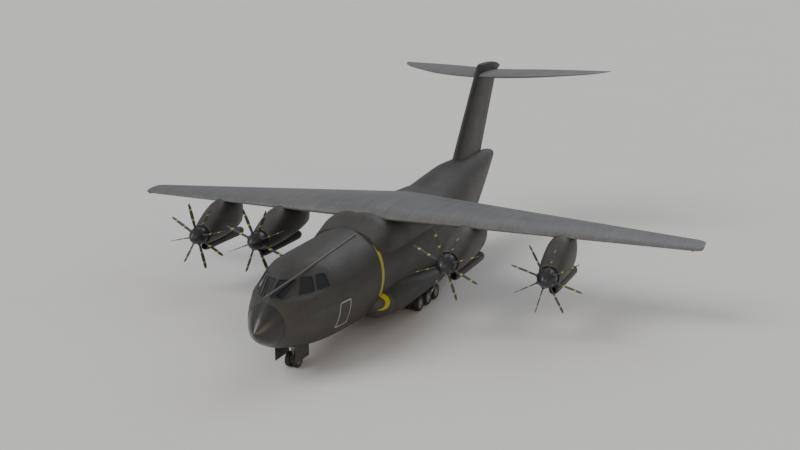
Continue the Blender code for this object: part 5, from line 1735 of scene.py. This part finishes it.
@dataclass
class Studio:
    """Pale floor, soft light and the camera of the photograph.

    A lamp is its name, the way it comes from, its spread in degrees, strength and colour.
    """

    azimuth: float = 23.43
    elevation: float = 14.573
    eye: tuple = (15.251, -36.004, 12.435)
    lamps: tuple = (("key", (-18, -22, 26), 35.0, 1.5, "#ffffff"),
                    ("warm", (30, -34, 16), 40.0, 0.7, "#ffe9cf"),
                    ("rim", (6, 34, 30), 40.0, 0.6, "#eef2ff"))

    def build(self) -> None:
        """Make the studio."""
        bpy.ops.mesh.primitive_plane_add(size=1200.0, location=(0, 0, 0))
        floor = bpy.context.object
        floor.name = "studio_floor"
        paint = Finish("pale_floor", "#e6e5e2", "#e8e7e4", 0.85, patch=8.0, relief=0.0)
        floor.data.materials.append(paint.material())
        data = bpy.data.cameras.new("view")
        data.lens = 50.0
        data.sensor_width = 36.0
        data.clip_end = 3000.0
        camera = bpy.data.objects.new("view", data)
        bpy.context.scene.collection.objects.link(camera)
        camera.location = self.eye
        a, e = radians(self.azimuth), radians(self.elevation)
        way = Vector((-sin(a) * cos(e), cos(a) * cos(e), -sin(e)))
        camera.rotation_euler = way.to_track_quat("-Z", "Y").to_euler()
        bpy.context.scene.camera = camera
        for name, place, spread, power, tone in self.lamps:
            lamp = bpy.data.lights.new(name, "SUN")
            lamp.angle = radians(spread)
            lamp.energy = power
            lamp.color = linear(tone)[:3]
            light = bpy.data.objects.new(name, lamp)
            bpy.context.scene.collection.objects.link(light)
            light.rotation_euler = (-Vector(place)).to_track_quat("-Z", "Y").to_euler()
        world = bpy.data.worlds.new("studio")
        world.use_nodes = True
        back = world.node_tree.nodes["Background"]
        back.inputs["Color"].default_value = linear("#e8eaec")
        back.inputs["Strength"].default_value = 0.42
        bpy.context.scene.world = world


# name, across, station and height of the propeller's middle, its turn in degrees, then where the
# chin tube and the nacelle end aft of it, and the share of the top's rise
ENGINES = (
    ("port_outer", 12.71, 13.74, 4.38, 29.3, 6.20, 6.00, 1.00),
    ("port_inner", 6.77, 11.80, 5.13, 19.6, 6.35, 7.50, 0.78),
    ("starboard_inner", -6.77, 11.80, 5.13, 24.1, 6.35, 7.50, 0.78),
    ("starboard_outer", -12.71, 13.74, 4.38, 14.6, 6.20, 6.00, 1.00),
)


def main() -> None:
    """Build and dress the aircraft, then the studio."""
    logging.basicConfig(level=logging.INFO, format="%(message)s")
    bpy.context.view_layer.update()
    hull = Hull()
    hull.build_shells()
    hull.build_probe()
    hull.build_wiper()
    CargoDoors(hull).build()
    Wing(hull, WingPanel(0.66)).build()
    for row in ENGINES:
        Powerplant(*row).build()
    Tail(hull, FinPanel(0.5, upright=True), TailPanel(0.55)).build()
    for side in Side:
        Sponson(hull, side).build()
    NoseGear(hull).build()
    Inside(hull).build()
    Studio().build()


if __name__ == "__main__":
    main()
